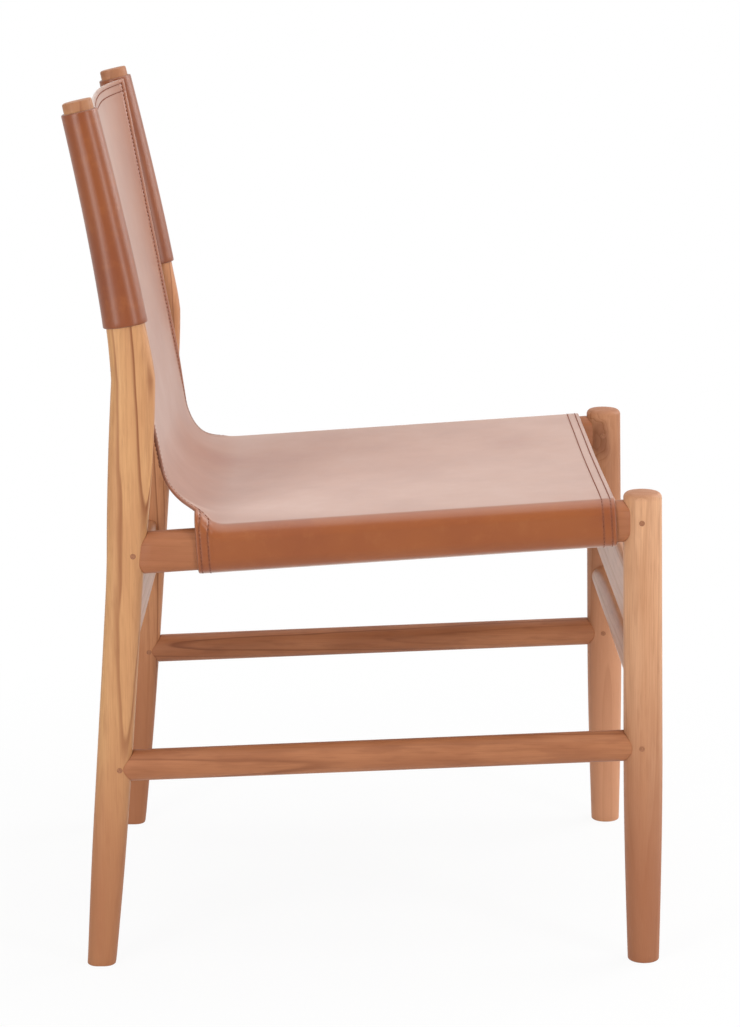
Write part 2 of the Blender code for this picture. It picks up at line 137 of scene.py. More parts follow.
def spread(start: float, end: float, pitch: float) -> list[float]:
    """Even places from start to end, both included, about a pitch apart."""
    count = max(1, round(abs(end - start) / pitch))
    return [mix(start, end, step / count) for step in range(count + 1)]


def stepped(*stops: Pair, least: float = 0.0002) -> list[float]:
    """Rising places, with a pitch of its own for each stretch.

    Args:
        stops: where each stretch starts, and its pitch; the last one is the end.
        least: the least step, so that no place stands twice where two stretches meet.

    Returns:
        The places.
    """
    places: list[float] = []
    for (start, pitch), (end, _) in zip(stops, stops[1:]):
        places += spread(start, end, pitch)
    kept: list[float] = []
    for place in sorted(places):
        if not kept or place - kept[-1] > least:
            kept.append(place)
    return kept


def crossing(inside: float, outside: float, is_outside: Callable[[float], bool]) -> float:
    """Closes in on the end of something by halving the way to it.

    Args:
        inside: a value short of the end.
        outside: a value beyond it.
        is_outside: tells whether a value is beyond it.

    Returns:
        The value just beyond the end.
    """
    for _ in range(HALVINGS):
        middle = (inside + outside) / 2
        if is_outside(middle):
            outside = middle
        else:
            inside = middle
    return outside


def rounded_outline(width: float, depth: float, radius: float, steps: int, flats: int) -> list[Vector]:
    """Outline of a rounded oblong, centred on zero and run anticlockwise.

    Args:
        width: its size along the first axis.
        depth: its size along the second axis.
        radius: its corner radius.
        steps: how many facets round each corner.
        flats: how many stretches each flat is divided into.

    Returns:
        The outline's points.
    """
    radius = min(radius, width / 2 * LARGEST_CORNER, depth / 2 * LARGEST_CORNER)
    corners: list[list[Vector]] = []
    for corner, (side, top) in enumerate(((1, 1), (-1, 1), (-1, -1), (1, -1))):
        centre = Vector((side * (width / 2 - radius), top * (depth / 2 - radius)))
        turns = [QUARTER_TURN * (corner + step / steps) for step in range(steps + 1)]
        corners.append([centre + Vector((math.cos(turn), math.sin(turn))) * radius for turn in turns])
    points: list[Vector] = []
    for arc, after in zip(corners, corners[1:] + corners[:1]):
        points += arc
        points += [arc[-1].lerp(after[0], step / flats) for step in range(1, flats)]
    return points


def round_outline(diameter: float, facets: int) -> list[Vector]:
    """Outline of a circle, centred on zero and run anticlockwise."""
    turns = [FULL_TURN * index / facets for index in range(facets)]
    return [Vector((math.cos(turn), math.sin(turn))) * diameter / 2 for turn in turns]


def skin(rings: Sequence[Sequence[Vector]], looped: bool = False) -> bmesh.types.BMesh:
    """Skins rings of equally many points.

    Args:
        rings: the rings, from one end to the other.
        looped: joins the last ring to the first in place of closing both ends.

    Returns:
        A closed mesh.
    """
    bm = bmesh.new()
    rows = [[bm.verts.new(point) for point in ring] for ring in rings]
    count = len(rows[0])
    steps = [(index, (index + 1) % count) for index in range(count)]
    for lower, upper in zip(rows, rows[1:] + rows[:1] if looped else rows[1:]):
        for index, after in steps:
            bm.faces.new((lower[index], lower[after], upper[after], upper[index]))
    if not looped:
        for row in (rows[0], rows[-1]):
            middle = bm.verts.new(sum((vert.co for vert in row), Vector()) / count)
            for index, after in steps:
                bm.faces.new((row[index], row[after], middle))
    bmesh.ops.recalc_face_normals(bm, faces=bm.faces)
    return bm


def place_object(name: str, data: bpy.types.ID) -> bpy.types.Object:
    """Puts a new object in the scene.

    Args:
        name: its name.
        data: its mesh, lamp or camera.

    Returns:
        The new object.
    """
    made = bpy.data.objects.new(name, data)
    bpy.context.scene.collection.objects.link(made)
    return made


def new_piece(name: str, bm: bmesh.types.BMesh, material: bpy.types.Material) -> bpy.types.Object:
    """Turns a mesh into a smooth piece with its place in its mesh.

    Args:
        name: the piece's name.
        bm: its mesh, which is used up.
        material: its finish.

    Returns:
        The new object.
    """
    mesh = bpy.data.meshes.new(name)
    bm.to_mesh(mesh)
    bm.free()
    mesh.materials.append(material)
    mesh.shade_smooth()
    mesh.set_sharp_from_angle(angle=SHARP_ANGLE)
    return place_object(name, mesh)


def make_plain(piece: bpy.types.Object) -> bpy.types.Object:
    """Puts a piece's modifiers into its mesh.

    Args:
        piece: a piece with live modifiers.

    Returns:
        The same piece, without modifiers.
    """
    evaluated = piece.evaluated_get(bpy.context.evaluated_depsgraph_get())
    mesh = bpy.data.meshes.new_from_object(evaluated)
    piece.modifiers.clear()
    piece.data = mesh
    return piece


def settle(piece: bpy.types.Object, slot: Slot, *nodes: str) -> bpy.types.Object:
    """Rides a piece on the chair and notes what it stands for.

    Args:
        piece: a finished piece.
        slot: the material slot that it belongs to; not used.
        nodes: the frame's solids that it replaces.

    Returns:
        The same piece.
    """
    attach(piece, BODY)
    if nodes:
        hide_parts(*nodes)
    log.info("%s: %d faces, stands for %s", piece.name, len(piece.data.polygons), list(nodes) or "nothing")
    return piece


Value = Union["Signal", float]
Link = Union[bpy.types.NodeSocket, tuple, float, int, bool, "Signal"]
Operator = Callable[["Signal", Value], "Signal"]


def both_ways(operation: str) -> tuple[Operator, Operator]:
    """Makes an operator of a signal and its reflected form.

    Args:
        operation: what its Math node does.

    Returns:
        The operator with the signal first, and the one with it second.
    """
    def forward(signal: Signal, other: Value) -> Signal:
        """The signal, then the other."""
        return signal.owner.maths(operation, signal, other)

    def reflected(signal: Signal, other: Value) -> Signal:
        """The other, then the signal."""
        return signal.owner.maths(operation, other, signal)

    return forward, reflected


class Signal:
    """A number that varies over a surface. Its arithmetic adds Math nodes."""

    __add__, __radd__ = both_ways("ADD")
    __sub__, __rsub__ = both_ways("SUBTRACT")
    __mul__, __rmul__ = both_ways("MULTIPLY")
    __truediv__, __rtruediv__ = both_ways("DIVIDE")
    __pow__, __rpow__ = both_ways("POWER")

    def __init__(self, owner: Tree, socket: bpy.types.NodeSocket) -> None:
        """Wraps one output socket of a tree."""
        self.owner = owner
        self.socket = socket

    def clamped(self) -> Signal:
        """This, kept from 0 to 1."""
        return self.owner.maths("ADD", self, 0.0, clamp=True)

    def eased(self, low: float, high: float) -> Signal:
        """0 below the low value, 1 above the high one, and smooth between them."""
        return self.owner.signal("Result", "ShaderNodeMapRange", {"interpolation_type": "SMOOTHSTEP"},
                                 {"Value": self, "From Min": low, "From Max": high})


class Tree:
    """A node tree of any kind, with one way to add a node to it."""

    def __init__(self, tree: bpy.types.NodeTree) -> None:
        """Takes up a tree."""
        self.tree = tree

    def node(self, kind: str, settings: dict[str, object], sockets: dict[object, Link]) -> bpy.types.Node:
        """Adds a node.

        Args:
            kind: the node's type.
            settings: its properties, set first.
            sockets: values or links for its inputs, by name or number.

        Returns:
            The new node.
        """
        made = self.tree.nodes.new(kind)
        for name, value in settings.items():
            setattr(made, name, value)
        for key, value in sockets.items():
            self.feed(made.inputs[key], value)
        return made

    def feed(self, socket: bpy.types.NodeSocket, value: Link) -> None:
        """Links a socket, or sets its value.

        Args:
            socket: an input socket.
            value: what it gets.
        """
        if isinstance(value, Signal):
            value = value.socket
        if isinstance(value, bpy.types.NodeSocket):
            self.tree.links.new(value, socket)
        else:
            socket.default_value = value

    def signal(self, output: str, kind: str, settings: dict[str, object],
               sockets: dict[object, Link]) -> Signal:
        """Adds a node, as the node method does, and wraps its named output."""
        return Signal(self, self.node(kind, settings, sockets).outputs[output])

    def maths(self, operation: str, first: Value, second: Value = 0.0, clamp: bool = False) -> Signal:
        """Adds a Math node and gives its result, kept from 0 to 1 when asked."""
        return self.signal("Value", "ShaderNodeMath", {"operation": operation, "use_clamp": clamp},
                           {0: first, 1: second})

    def white_rays(self) -> Signal:
        """Tells the rays that meet plain white: those of the eye, of gloss and of glass.

        Returns:
            1 for them, and 0 for the others.
        """
        rays = self.node("ShaderNodeLightPath", {}, {}).outputs
        kinds = ("Camera", "Glossy", "Transmission")
        eye, gloss, glass = (Signal(self, rays[f"Is {kind} Ray"]) for kind in kinds)
        return (eye + (gloss + glass)).clamped()


@dataclass(frozen=True)
class Pattern:
    """A soft noise: its scale, finer layers and their strength, its scale along the grain, where it shows."""

    scale: float
    layers: float = 2.0
    strength: float = 0.5
    along: float = 1.0
    rise: Pair = (0.0, 1.0)


class Graph(Tree):
    """The nodes of one material, with a Principled shader at their end."""

    def __init__(self, name: str) -> None:
        """Makes the material and finds its shader.

        Args:
            name: the material's name.
        """
        self.material = bpy.data.materials.new(name)
        self.material.use_nodes = True
        super().__init__(self.material.node_tree)
        self.shader = self.tree.nodes["Principled BSDF"]

    def place(self) -> bpy.types.NodeSocket:
        """Where a point of the surface is, in the object's own metres."""
        return self.node("ShaderNodeTexCoord", {}, {}).outputs["Object"]

    def axes(self, vector: Link) -> list[Signal]:
        """The three parts of a vector."""
        parts = self.node("ShaderNodeSeparateXYZ", {}, {"Vector": vector}).outputs
        return [Signal(self, part) for part in parts]

    def mapped(self, vector: Link, turn: Triple, stretch: float = 1.0,
               shift: Triple = NOWHERE) -> bpy.types.NodeSocket:
        """A vector that is scaled along Z, turned and then shifted.

        Args:
            vector: what to map.
            turn: the turn about each axis.
            stretch: the scale along Z.
            shift: what is added last.

        Returns:
            The mapped vector.
        """
        sockets = {"Vector": vector, "Rotation": turn, "Scale": (1.0, 1.0, stretch), "Location": shift}
        return self.node("ShaderNodeMapping", {}, sockets).outputs["Vector"]

    def noise(self, vector: Link, pattern: Pattern) -> Signal:
        """Soft noise from 0 to 1.

        Args:
            vector: where to read it, with any grain along Z.
            pattern: its scales and layers.

        Returns:
            The noise.
        """
        if pattern.along != 1.0:
            vector = self.mapped(vector, NOWHERE, pattern.along)
        return self.signal("Fac", "ShaderNodeTexNoise", {}, {"Vector": vector, "Scale": pattern.scale,
                                                             "Detail": pattern.layers,
                                                             "Roughness": pattern.strength})

    def length(self, vector: Link) -> Signal:
        """How long a vector is."""
        return self.signal("Value", "ShaderNodeVectorMath", {"operation": "LENGTH"}, {0: vector})

    def attribute(self, name: str) -> Signal:
        """A number that the mesh carries at its points."""
        return self.signal("Fac", "ShaderNodeAttribute", {"attribute_name": name}, {})

    def blend(self, share: Value, under: Link, over: Link) -> bpy.types.NodeSocket:
        """Mixes two colours, with a share of the second."""
        return self.node("ShaderNodeMix", {"data_type": "RGBA"}, {0: share, 6: under, 7: over}).outputs[2]

    def bump(self, height: Value, distance: float, strength: float) -> None:
        """Feeds the shader's Normal with a bump of a given depth."""
        made = self.node("ShaderNodeBump", {}, {"Height": height, "Distance": distance, "Strength": strength})
        self.feed(self.shader.inputs["Normal"], made.outputs["Normal"])

    def set(self, **values: Link) -> None:
        """Feeds the shader's sockets, named with underscores for spaces."""
        for name, value in values.items():
            self.feed(self.shader.inputs[name.replace("_", " ").title()], value)


@dataclass(frozen=True)
class TeakFinish:
    """Oiled teak: growth rings cut by the surface, long fibres and fine dark pores.

    A rise, a reach or an end is where something starts and where it is complete.
    """

    name: str
    grain: Grain
    pale: Colour
    brown: Colour
    deep: Colour
    foot: Colour = tone(150, 92, 60)
    cap: Colour = tone(150, 98, 68)
    heart: Colour = tone(112, 58, 31)
    pith: Pair = (0.055, 0.012)
    ring_width: float = 0.0075
    ring_lean: float = 0.030
    wander: float = 0.010
    waver_share: float = 0.65
    ring_strength: float = 0.75
    ring_least: float = 0.10
    streaking: float = 0.65
    vein: float = 0.65
    vein_rise: Pair = (0.72, 0.93)
    band_rise: Pair = (0.05, 0.85)
    ring_end: Pair = (0.92, 1.0)
    year_least: float = 0.25
    year_change: float = 0.9
    blotches: float = 0.75
    dashes: float = 0.18
    fibres: float = 0.22
    pores: float = 0.10
    pore_shade: float = 0.6
    foot_share: float = 0.0
    foot_low: float = 0.06
    foot_height: float = 0.28
    end_height: float = 0.0
    end_depth: float = 0.008
    end_share: float = 0.8
    polish: float = 0.32
    roughness: float = 0.49
    late_roughness: float = 0.08
    fibre_roughness: float = 0.06
    relief: float = 0.00012
    relief_strength: float = 0.7
    fibre_relief: float = 0.5
    late_relief: float = 0.3
    knot: Optional[Triple] = None
    knot_turn: float = 0.5
    knot_stretch: float = 0.55
    knot_reach: Pair = (0.001, 0.017)
    knot_raggedness: float = 0.012
    knot_rings: float = 2.6
    heart_rise: Pair = (0.05, 0.9)
    heart_least: float = 0.34
    heart_streaking: float = 0.45
    drift: Pattern = Pattern(9.0, 2.0, 0.45, 0.16)
    waver: Pattern = Pattern(34.0, along=0.15)
    blotch: Pattern = Pattern(26.0, 2.0, 0.5, 0.30, (0.30, 0.72))
    fibre: Pattern = Pattern(900.0, 2.0, 0.6, 0.022, (0.35, 0.75))
    streak: Pattern = Pattern(190.0, 1.0, 0.5, 0.018)
    dash: Pattern = Pattern(170.0, 2.0, 0.55, 0.16, (0.48, 0.72))
    pore: Pattern = Pattern(1500.0, 0.0, 0.5, 0.05, (0.66, 0.80))
    ragged: Pattern = Pattern(70.0, 1.0)

    def late_wood(self, graph: Graph, place: Link, pull: Value) -> Signal:
        """The dark wood that ends each growth ring.

        Args:
            graph: the finish's nodes.
            place: the surface's place, with the grain along Z.
            pull: how strongly a knot draws the rings round it.

        Returns:
            How much of it shows at a point.
        """
        drift = graph.noise(place, self.drift) - 0.5
        waver = graph.noise(place, self.waver) - 0.5
        across, back, along = graph.axes(place)
        across, back = across - self.pith[0], back - self.pith[1]
        reach = (across * across + back * back) ** 0.5 + along * self.ring_lean
        reach = reach + drift * (2 * self.wander) + waver * (self.wander * self.waver_share)
        years = (reach + pull * (self.ring_width * self.knot_rings)) / self.ring_width
        turn = graph.maths("FRACT", years)
        year = graph.signal("Value", "ShaderNodeTexWhiteNoise", {"noise_dimensions": "1D"},
                            {"W": graph.maths("FLOOR", years)})
        line = turn.eased(*self.vein_rise) * self.vein + turn.eased(*self.band_rise) * (1.0 - self.vein)
        return line * (1.0 - turn.eased(*self.ring_end)) * (year * self.year_change + self.year_least)

    def knot_pull(self, graph: Graph) -> Value:
        """How strongly the knot draws the rings round it.

        Args:
            graph: the finish's nodes.

        Returns:
            1 at the knot's heart, and 0 away from it or where the wood has none.
        """
        if not self.knot:
            return 0.0
        centred = graph.mapped(graph.place(), NOWHERE, shift=tuple(-part for part in self.knot))
        offset = graph.mapped(centred, (self.knot_turn, 0.0, 0.0), self.knot_stretch)
        ragged = (graph.noise(graph.place(), self.ragged) - 0.5) * self.knot_raggedness
        return 1.0 - (graph.length(offset) + ragged).eased(*self.knot_reach)

    def weathered(self, graph: Graph, colour: Link) -> bpy.types.NodeSocket:
        """Tints the foot and the top end of an upright.

        Args:
            graph: the finish's nodes.
            colour: the wood's colour.

        Returns:
            The tinted colour.
        """
        height = graph.axes(graph.place())[2]
        low = 1.0 - height.eased(self.foot_low, self.foot_height)
        end = height.eased(self.end_height - self.end_depth, self.end_height)
        colour = graph.blend(low * self.foot_share, colour, self.foot)
        return graph.blend(end * self.end_share, colour, self.cap)

    def material(self) -> bpy.types.Material:
        """Builds the finish.

        Returns:
            The material.
        """
        graph = Graph(self.name)
        place = graph.mapped(graph.place(), self.grain.value)
        pull = self.knot_pull(graph)
        late = self.late_wood(graph, place, pull)
        patterns = (self.blotch, self.fibre, self.streak, self.dash, self.pore)
        blotch, fibre, streak, dash, pore = (graph.noise(place, pattern) for pattern in patterns)
        streaked = 1.0 - self.streaking + self.streaking * streak
        rings = (late * (self.ring_least + self.ring_strength * streaked)).clamped()
        pores = pore.eased(*self.pore.rise)
        darkest = (*(part * self.pore_shade for part in self.deep[:3]), 1.0)
        colour = graph.blend(blotch.eased(*self.blotch.rise) * self.blotches, self.pale, self.brown)
        colour = graph.blend(rings, colour, self.deep)
        colour = graph.blend(dash.eased(*self.dash.rise) * self.dashes, colour, self.deep)
        colour = graph.blend(fibre.eased(*self.fibre.rise) * self.fibres, colour, self.deep)
        colour = graph.blend(pores * self.pores, colour, darkest)
        if self.end_height:
            colour = self.weathered(graph, colour)
        if self.knot:
            shown = streak * self.heart_streaking + self.heart_least
            colour = graph.blend(pull.eased(*self.heart_rise) * shown, colour, self.heart)
        rough = self.roughness + late * self.late_roughness + fibre * self.fibre_roughness
        graph.set(base_color=colour, roughness=rough)
        graph.shader.inputs["Specular IOR Level"].default_value = self.polish
        height = fibre * self.fibre_relief - pores + late * self.late_relief
        graph.bump(height, self.relief, self.relief_strength)
        return graph.material


@dataclass(frozen=True)
class LeatherFinish:
    """Waxed saddle leather: mottled tan, fine pores, a soft sheen, dark cut edges partly painted with shade,
    painted shade in the seam grooves and a suede back.
    """

    name: str
    tan: Colour = (0.264, 0.064, 0.007, 1.0)
    dark: Colour = (0.226, 0.048, 0.004, 1.0)
    pale: Colour = (0.306, 0.090, 0.017, 1.0)
    # The cut edges' colour: partly the edge's own darker colour, partly painted shade along the edges.
    edge: Colour = tone(122, 70, 44)
    # Painted shade: the colour that darkens the seam grooves.
    crease: Colour = tone(92, 44, 26)
    flesh: Colour = tone(164, 112, 78)
    nap_shade: Colour = tone(144, 93, 62)
    cloud_rise: Pair = (0.36, 0.70)
    mottle_rise: Pair = (0.48, 0.78)
    mottle_share: float = 0.35
    nap_cloud: float = 0.6
    nap_mottle: float = 0.4
    crease_share: float = 0.5
    edge_share: float = 0.9
    roughness: float = 0.36
    cloud_roughness: float = 0.22
    mottle_roughness: float = 0.10
    flesh_roughness: float = 0.4
    patchy: float = 1.0
    haze: float = 0.68
    haze_softness: float = 0.40
    haze_tint: Colour = (1.0, 0.905, 0.84, 1.0)
    relief: float = 0.00002
    relief_strength: float = 0.5
    fine_relief: float = 0.2
    cloud: Pattern = Pattern(11.0, 3.0, 0.55, rise=(0.35, 0.70))
    mottle: Pattern = Pattern(70.0, 3.0, 0.6, rise=(0.45, 0.75))
    pebble: Pattern = Pattern(520.0, 1.0, 0.4)
    fine: Pattern = Pattern(1400.0, 2.0, 0.6)

    def material(self) -> bpy.types.Material:
        """Builds the finish.

        Returns:
            The material.
        """
        graph = Graph(self.name)
        patterns = (self.cloud, self.mottle, self.pebble, self.fine)
        cloud, mottle, pebble, fine = (graph.noise(graph.place(), pattern) for pattern in patterns)
        groove, flesh, edge = (graph.attribute(name) for name in ("groove", "flesh", "edge"))
        napped = cloud.eased(*self.cloud.rise) * self.nap_cloud
        napped = napped + mottle.eased(*self.mottle.rise) * self.nap_mottle
        colour = graph.blend(cloud.eased(*self.cloud_rise), self.tan, self.dark)
        colour = graph.blend(mottle.eased(*self.mottle_rise) * self.mottle_share, colour, self.pale)
        # Painted shade: the seam grooves are darkened towards the groove shade colour.
        colour = graph.blend(groove * self.crease_share, colour, self.crease)
        colour = graph.blend(flesh, colour, graph.blend(napped, self.flesh, self.nap_shade))
        # The cut edges are darkened: partly their own colour, partly painted shade along them.
        colour = graph.blend(edge * self.edge_share, colour, self.edge)
        uneven = (mottle - 0.5) * self.mottle_roughness + (cloud - 0.5) * self.cloud_roughness
        rough = uneven * self.patchy + self.roughness + flesh * self.flesh_roughness
        graph.set(base_color=colour, roughness=rough.clamped(), sheen_weight=self.haze,
                  sheen_roughness=self.haze_softness, sheen_tint=self.haze_tint)
        graph.bump(pebble + fine * self.fine_relief, self.relief, self.relief_strength)
        return graph.material


@dataclass(frozen=True)
class PlainFinish:
    """Thread, peg ends and tacks: one colour with a fine variation."""

    name: str
    colour: Colour
    shade: Colour
    roughness: float
    metallic: float = 0.0
    fleck: Pattern = Pattern(900.0, 2.0, 0.6, rise=(0.3, 0.7))
    uneven: float = 0.1
    relief: float = 0.00008
    relief_strength: float = 0.6

    def material(self) -> bpy.types.Material:
        """Builds the finish.

        Returns:
            The material.
        """
        graph = Graph(self.name)
        fleck = graph.noise(graph.place(), self.fleck)
        colour = graph.blend(fleck.eased(*self.fleck.rise), self.colour, self.shade)
        rough = self.roughness + (fleck - 0.5) * self.uneven
        graph.set(base_color=colour, roughness=rough, metallic=self.metallic)
        graph.bump(fleck, self.relief, self.relief_strength)
        return graph.material


@dataclass
class FrontLeg:
    """A turned front leg with a domed top, leaning back a little."""

    side: Side
    height: float = 0.450
    lean: float = 0.0067
    top_radius: float = 0.0176
    belly_radius: float = 0.0181
    foot_radius: float = 0.0147
    taper_height: float = 0.200
    top_rounding: float = 0.0055
    top_step: float = math.radians(11)
    crown: float = 0.0015
    crown_shares: tuple[float, ...] = (0.8, 0.6, 0.4, 0.2)
    foot_rounding: float = 0.0016
    foot_step: float = math.radians(22)
    pitch: float = 0.008
    search_pitch: float = 0.005
    facets: int = 72
    x: float = 0.0
    y: float = 0.0

    def __post_init__(self) -> None:
        """Finds the leg's foot from the frame's solid."""
        low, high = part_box(f"front_leg_{self.side.label}")
        self.x = (low.x + high.x) / 2
        heights = spread(0, self.height, self.search_pitch)
        self.y = low.y - min(self.axis_y(z) - self.radius(z) for z in heights)

    def radius(self, z: float) -> float:
        """The leg's radius at a height, without its rounded ends.

        Args:
            z: the height.

        Returns:
            The radius.
        """
        if z < self.taper_height:
            return mix(self.foot_radius, self.belly_radius, math.sin(QUARTER_TURN * z / self.taper_height))
        share = (z - self.taper_height) / (self.height - self.taper_height)
        return mix(self.belly_radius, self.top_radius, share)

    def axis_y(self, z: float) -> float:
        """Where the leg's axis stands at a height."""
        return self.y + self.lean * z / self.height

    def axis(self, z: float) -> Vector:
        """The point of its axis at a height."""
        return Vector((self.x, self.axis_y(z), z))

    def outside(self, point: Vector) -> float:
        """How far a point is outside the leg's side."""
        return math.hypot(point.x - self.x, point.y - self.axis_y(point.z)) - self.radius(point.z)

    def profile(self) -> list[Pair]:
        """The leg's outline from the floor to its crown.

        Returns:
            Radii with their heights, without the two centres.
        """
        foot, soft, rounding = self.radius(0), self.foot_rounding, self.top_rounding
        shoulder = self.height - rounding - self.crown
        rim = self.radius(shoulder)
        points = [(foot - soft * (1 - math.sin(turn)), soft * (1 - math.cos(turn)))
                  for turn in spread(0, QUARTER_TURN, self.foot_step)]
        points += [(self.radius(z), z) for z in spread(soft, shoulder, self.pitch)[1:]]
        points += [(rim - rounding * (1 - math.cos(turn)), shoulder + rounding * math.sin(turn))
                   for turn in spread(0, QUARTER_TURN, self.top_step)[1:]]
        return points + [((rim - rounding) * share, self.height - self.crown * share * share)
                         for share in self.crown_shares]

    def build(self, finish: bpy.types.Material) -> bpy.types.Object:
        """Turns the leg.

        Args:
            finish: its wood.

        Returns:
            The finished piece.
        """
        rings = [[Vector((self.x + p.x, self.axis_y(z) + p.y, z))
                  for p in round_outline(2 * radius, self.facets)] for radius, z in self.profile()]
        leg = new_piece(f"turned_leg_{self.side.label}", skin(rings), finish)
        return settle(leg, Slot.TEAK, f"front_leg_{self.side.label}")


@dataclass
class BackPost:
    """A shaped back post: kicked back at its foot, deepest near the seat, raked and slimmer above."""

    side: Side
    height: float = 0.8054
    knee_height: float = 0.555
    foot_kick: float = 0.0404
    knee_inset: float = 0.0404
    top_rake: float = 0.0453
    depth: float = 0.0405
    thickness: float = 0.030
    corner_radius: float = 0.0105
    corner_facets: int = 8
    flat_facets: int = 3
    end_rounding: float = 0.0016
    end_step: float = math.radians(30)
    pitch: float = 0.008
    search_pitch: float = 0.002
    kick_power: float = 1.15
    rake_power: float = 1.25
    depth_shares: tuple[Pair, ...] = (
        (0.0, 0.66), (0.125, 0.765), (0.25, 0.80), (0.40, 0.815), (0.47, 0.835), (0.53, 0.93), (0.585, 0.985),
        (0.64, 1.0), (0.695, 0.965), (0.745, 0.865), (0.82, 0.785), (0.91, 0.71), (1.0, 0.65))
    thickness_shares: tuple[Pair, ...] = ((0.0, 0.86), (0.10, 0.93), (0.24, 0.985), (0.33, 1.0), (1.0, 1.0))
    x: float = 0.0
    y: float = 0.0

    def __post_init__(self) -> None:
        """Finds the post's foot from the frame's solid."""
        low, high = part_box(f"back_post_{self.side.label}")
        self.x = (low.x + high.x) / 2
        self.y = low.y - min(self.front_y(z) for z in spread(0, self.height, self.search_pitch))

    @staticmethod
    def read(table: Sequence[Pair], share: float) -> float:
        """A smoothly read value of a table of places and values.

        Args:
            table: rising places, each with its value.
            share: the place to read.

        Returns:
            The value there.
        """
        if share <= table[0][0]:
            return table[0][1]
        for index, ((low, low_value), (high, high_value)) in enumerate(zip(table, table[1:])):
            if share <= high:
                before, after = table[max(index - 1, 0)], table[min(index + 2, len(table) - 1)]
                span, rise = high - low, high_value - low_value
                low_slope = (high_value - before[1]) / (high - before[0]) * span
                high_slope = (after[1] - low_value) / (after[0] - low) * span
                t = (share - low) / span
                bend = 3 * rise - 2 * low_slope - high_slope
                twist = low_slope + high_slope - 2 * rise
                return low_value + low_slope * t + bend * t ** 2 + twist * t ** 3
        return table[-1][1]

    def axis_y(self, z: float) -> float:
        """Where the post's axis stands at a height.

        Args:
            z: the height.

        Returns:
            Its Y.
        """
        knee_y = self.y - self.knee_inset
        if z < self.knee_height:
            return knee_y + self.foot_kick * (1 - z / self.knee_height) ** self.kick_power
        share = (z - self.knee_height) / (self.height - self.knee_height)
        return knee_y + self.top_rake * share ** self.rake_power

    def axis(self, z: float) -> Vector:
        """The point of its axis at a height."""
        return Vector((self.x, self.axis_y(z), z))

    def tilt(self, z: float) -> float:
        """How far the post's section tips back with its axis.

        Args:
            z: the height.

        Returns:
            The angle.
        """
        if z <= self.knee_height:
            return 0.0
        raked = self.height - self.knee_height
        share = min((z - self.knee_height) / raked, 1.0)
        return math.atan(self.top_rake / raked * self.rake_power * share ** (self.rake_power - 1))

    def depth_at(self, z: float) -> float:
        """The post's size from front to back."""
        return self.depth * self.read(self.depth_shares, z / self.height)

    def thickness_at(self, z: float) -> float:
        """The post's size from side to side."""
        return self.thickness * self.read(self.thickness_shares, z / self.height)

    def front_y(self, z: float) -> float:
        """The post's front face at a height."""
        return self.axis_y(z) - self.depth_at(z) / 2 * math.cos(self.tilt(z))

    def outside(self, point: Vector) -> float:
        """How far a point below the knee is outside the post.

        Args:
            point: the point.

        Returns:
            The distance, below 0 inside the wood.
        """
        across = abs(point.x - self.x) - self.thickness_at(point.z) / 2 + self.corner_radius
        back = abs(point.y - self.axis_y(point.z)) - self.depth_at(point.z) / 2 + self.corner_radius
        return math.hypot(max(across, 0), max(back, 0)) + min(max(across, back), 0) - self.corner_radius

    def ring(self, z: float, grow: float = 0.0, softness: float = 0.0, facets: int = 0) -> list[Vector]:
        """The post's rounded section at a height on its axis.

        Args:
            z: the height.
            grow: how far outside the wood.
            softness: how much softer than the wood its corners are.
            facets: how many facets round each corner, or 0 for as many as the wood has.

        Returns:
            The section's points.
        """
        tilt = self.tilt(z)
        outline = rounded_outline(self.thickness_at(z) + 2 * grow, self.depth_at(z) + 2 * grow,
                                  self.corner_radius + grow + softness, facets or self.corner_facets,
                                  self.flat_facets)
        return [Vector((self.x + p.x, self.axis_y(z) + p.y * math.cos(tilt), z - p.y * math.sin(tilt)))
                for p in outline]

    def build(self, finish: bpy.types.Material) -> bpy.types.Object:
        """Shapes the post.

        Args:
            finish: its wood.

        Returns:
            The finished piece.
        """
        soft = self.end_rounding
        turns = spread(0, QUARTER_TURN, self.end_step)
        rings = [[Vector((p.x, p.y, soft * (1 - math.cos(turn))))
                  for p in self.ring(0.0, soft * (math.sin(turn) - 1))] for turn in turns]
        rings += [self.ring(z) for z in spread(soft, self.height - soft, self.pitch)[1:]]
        rings += [self.ring(self.height - soft * (1 - math.sin(turn)), soft * (math.cos(turn) - 1))
                  for turn in turns[1:]]
        post = new_piece(f"shaped_post_{self.side.label}", skin(rings), finish)
        return settle(post, Slot.TEAK, f"back_post_{self.side.label}")


Upright = Union[FrontLeg, BackPost]


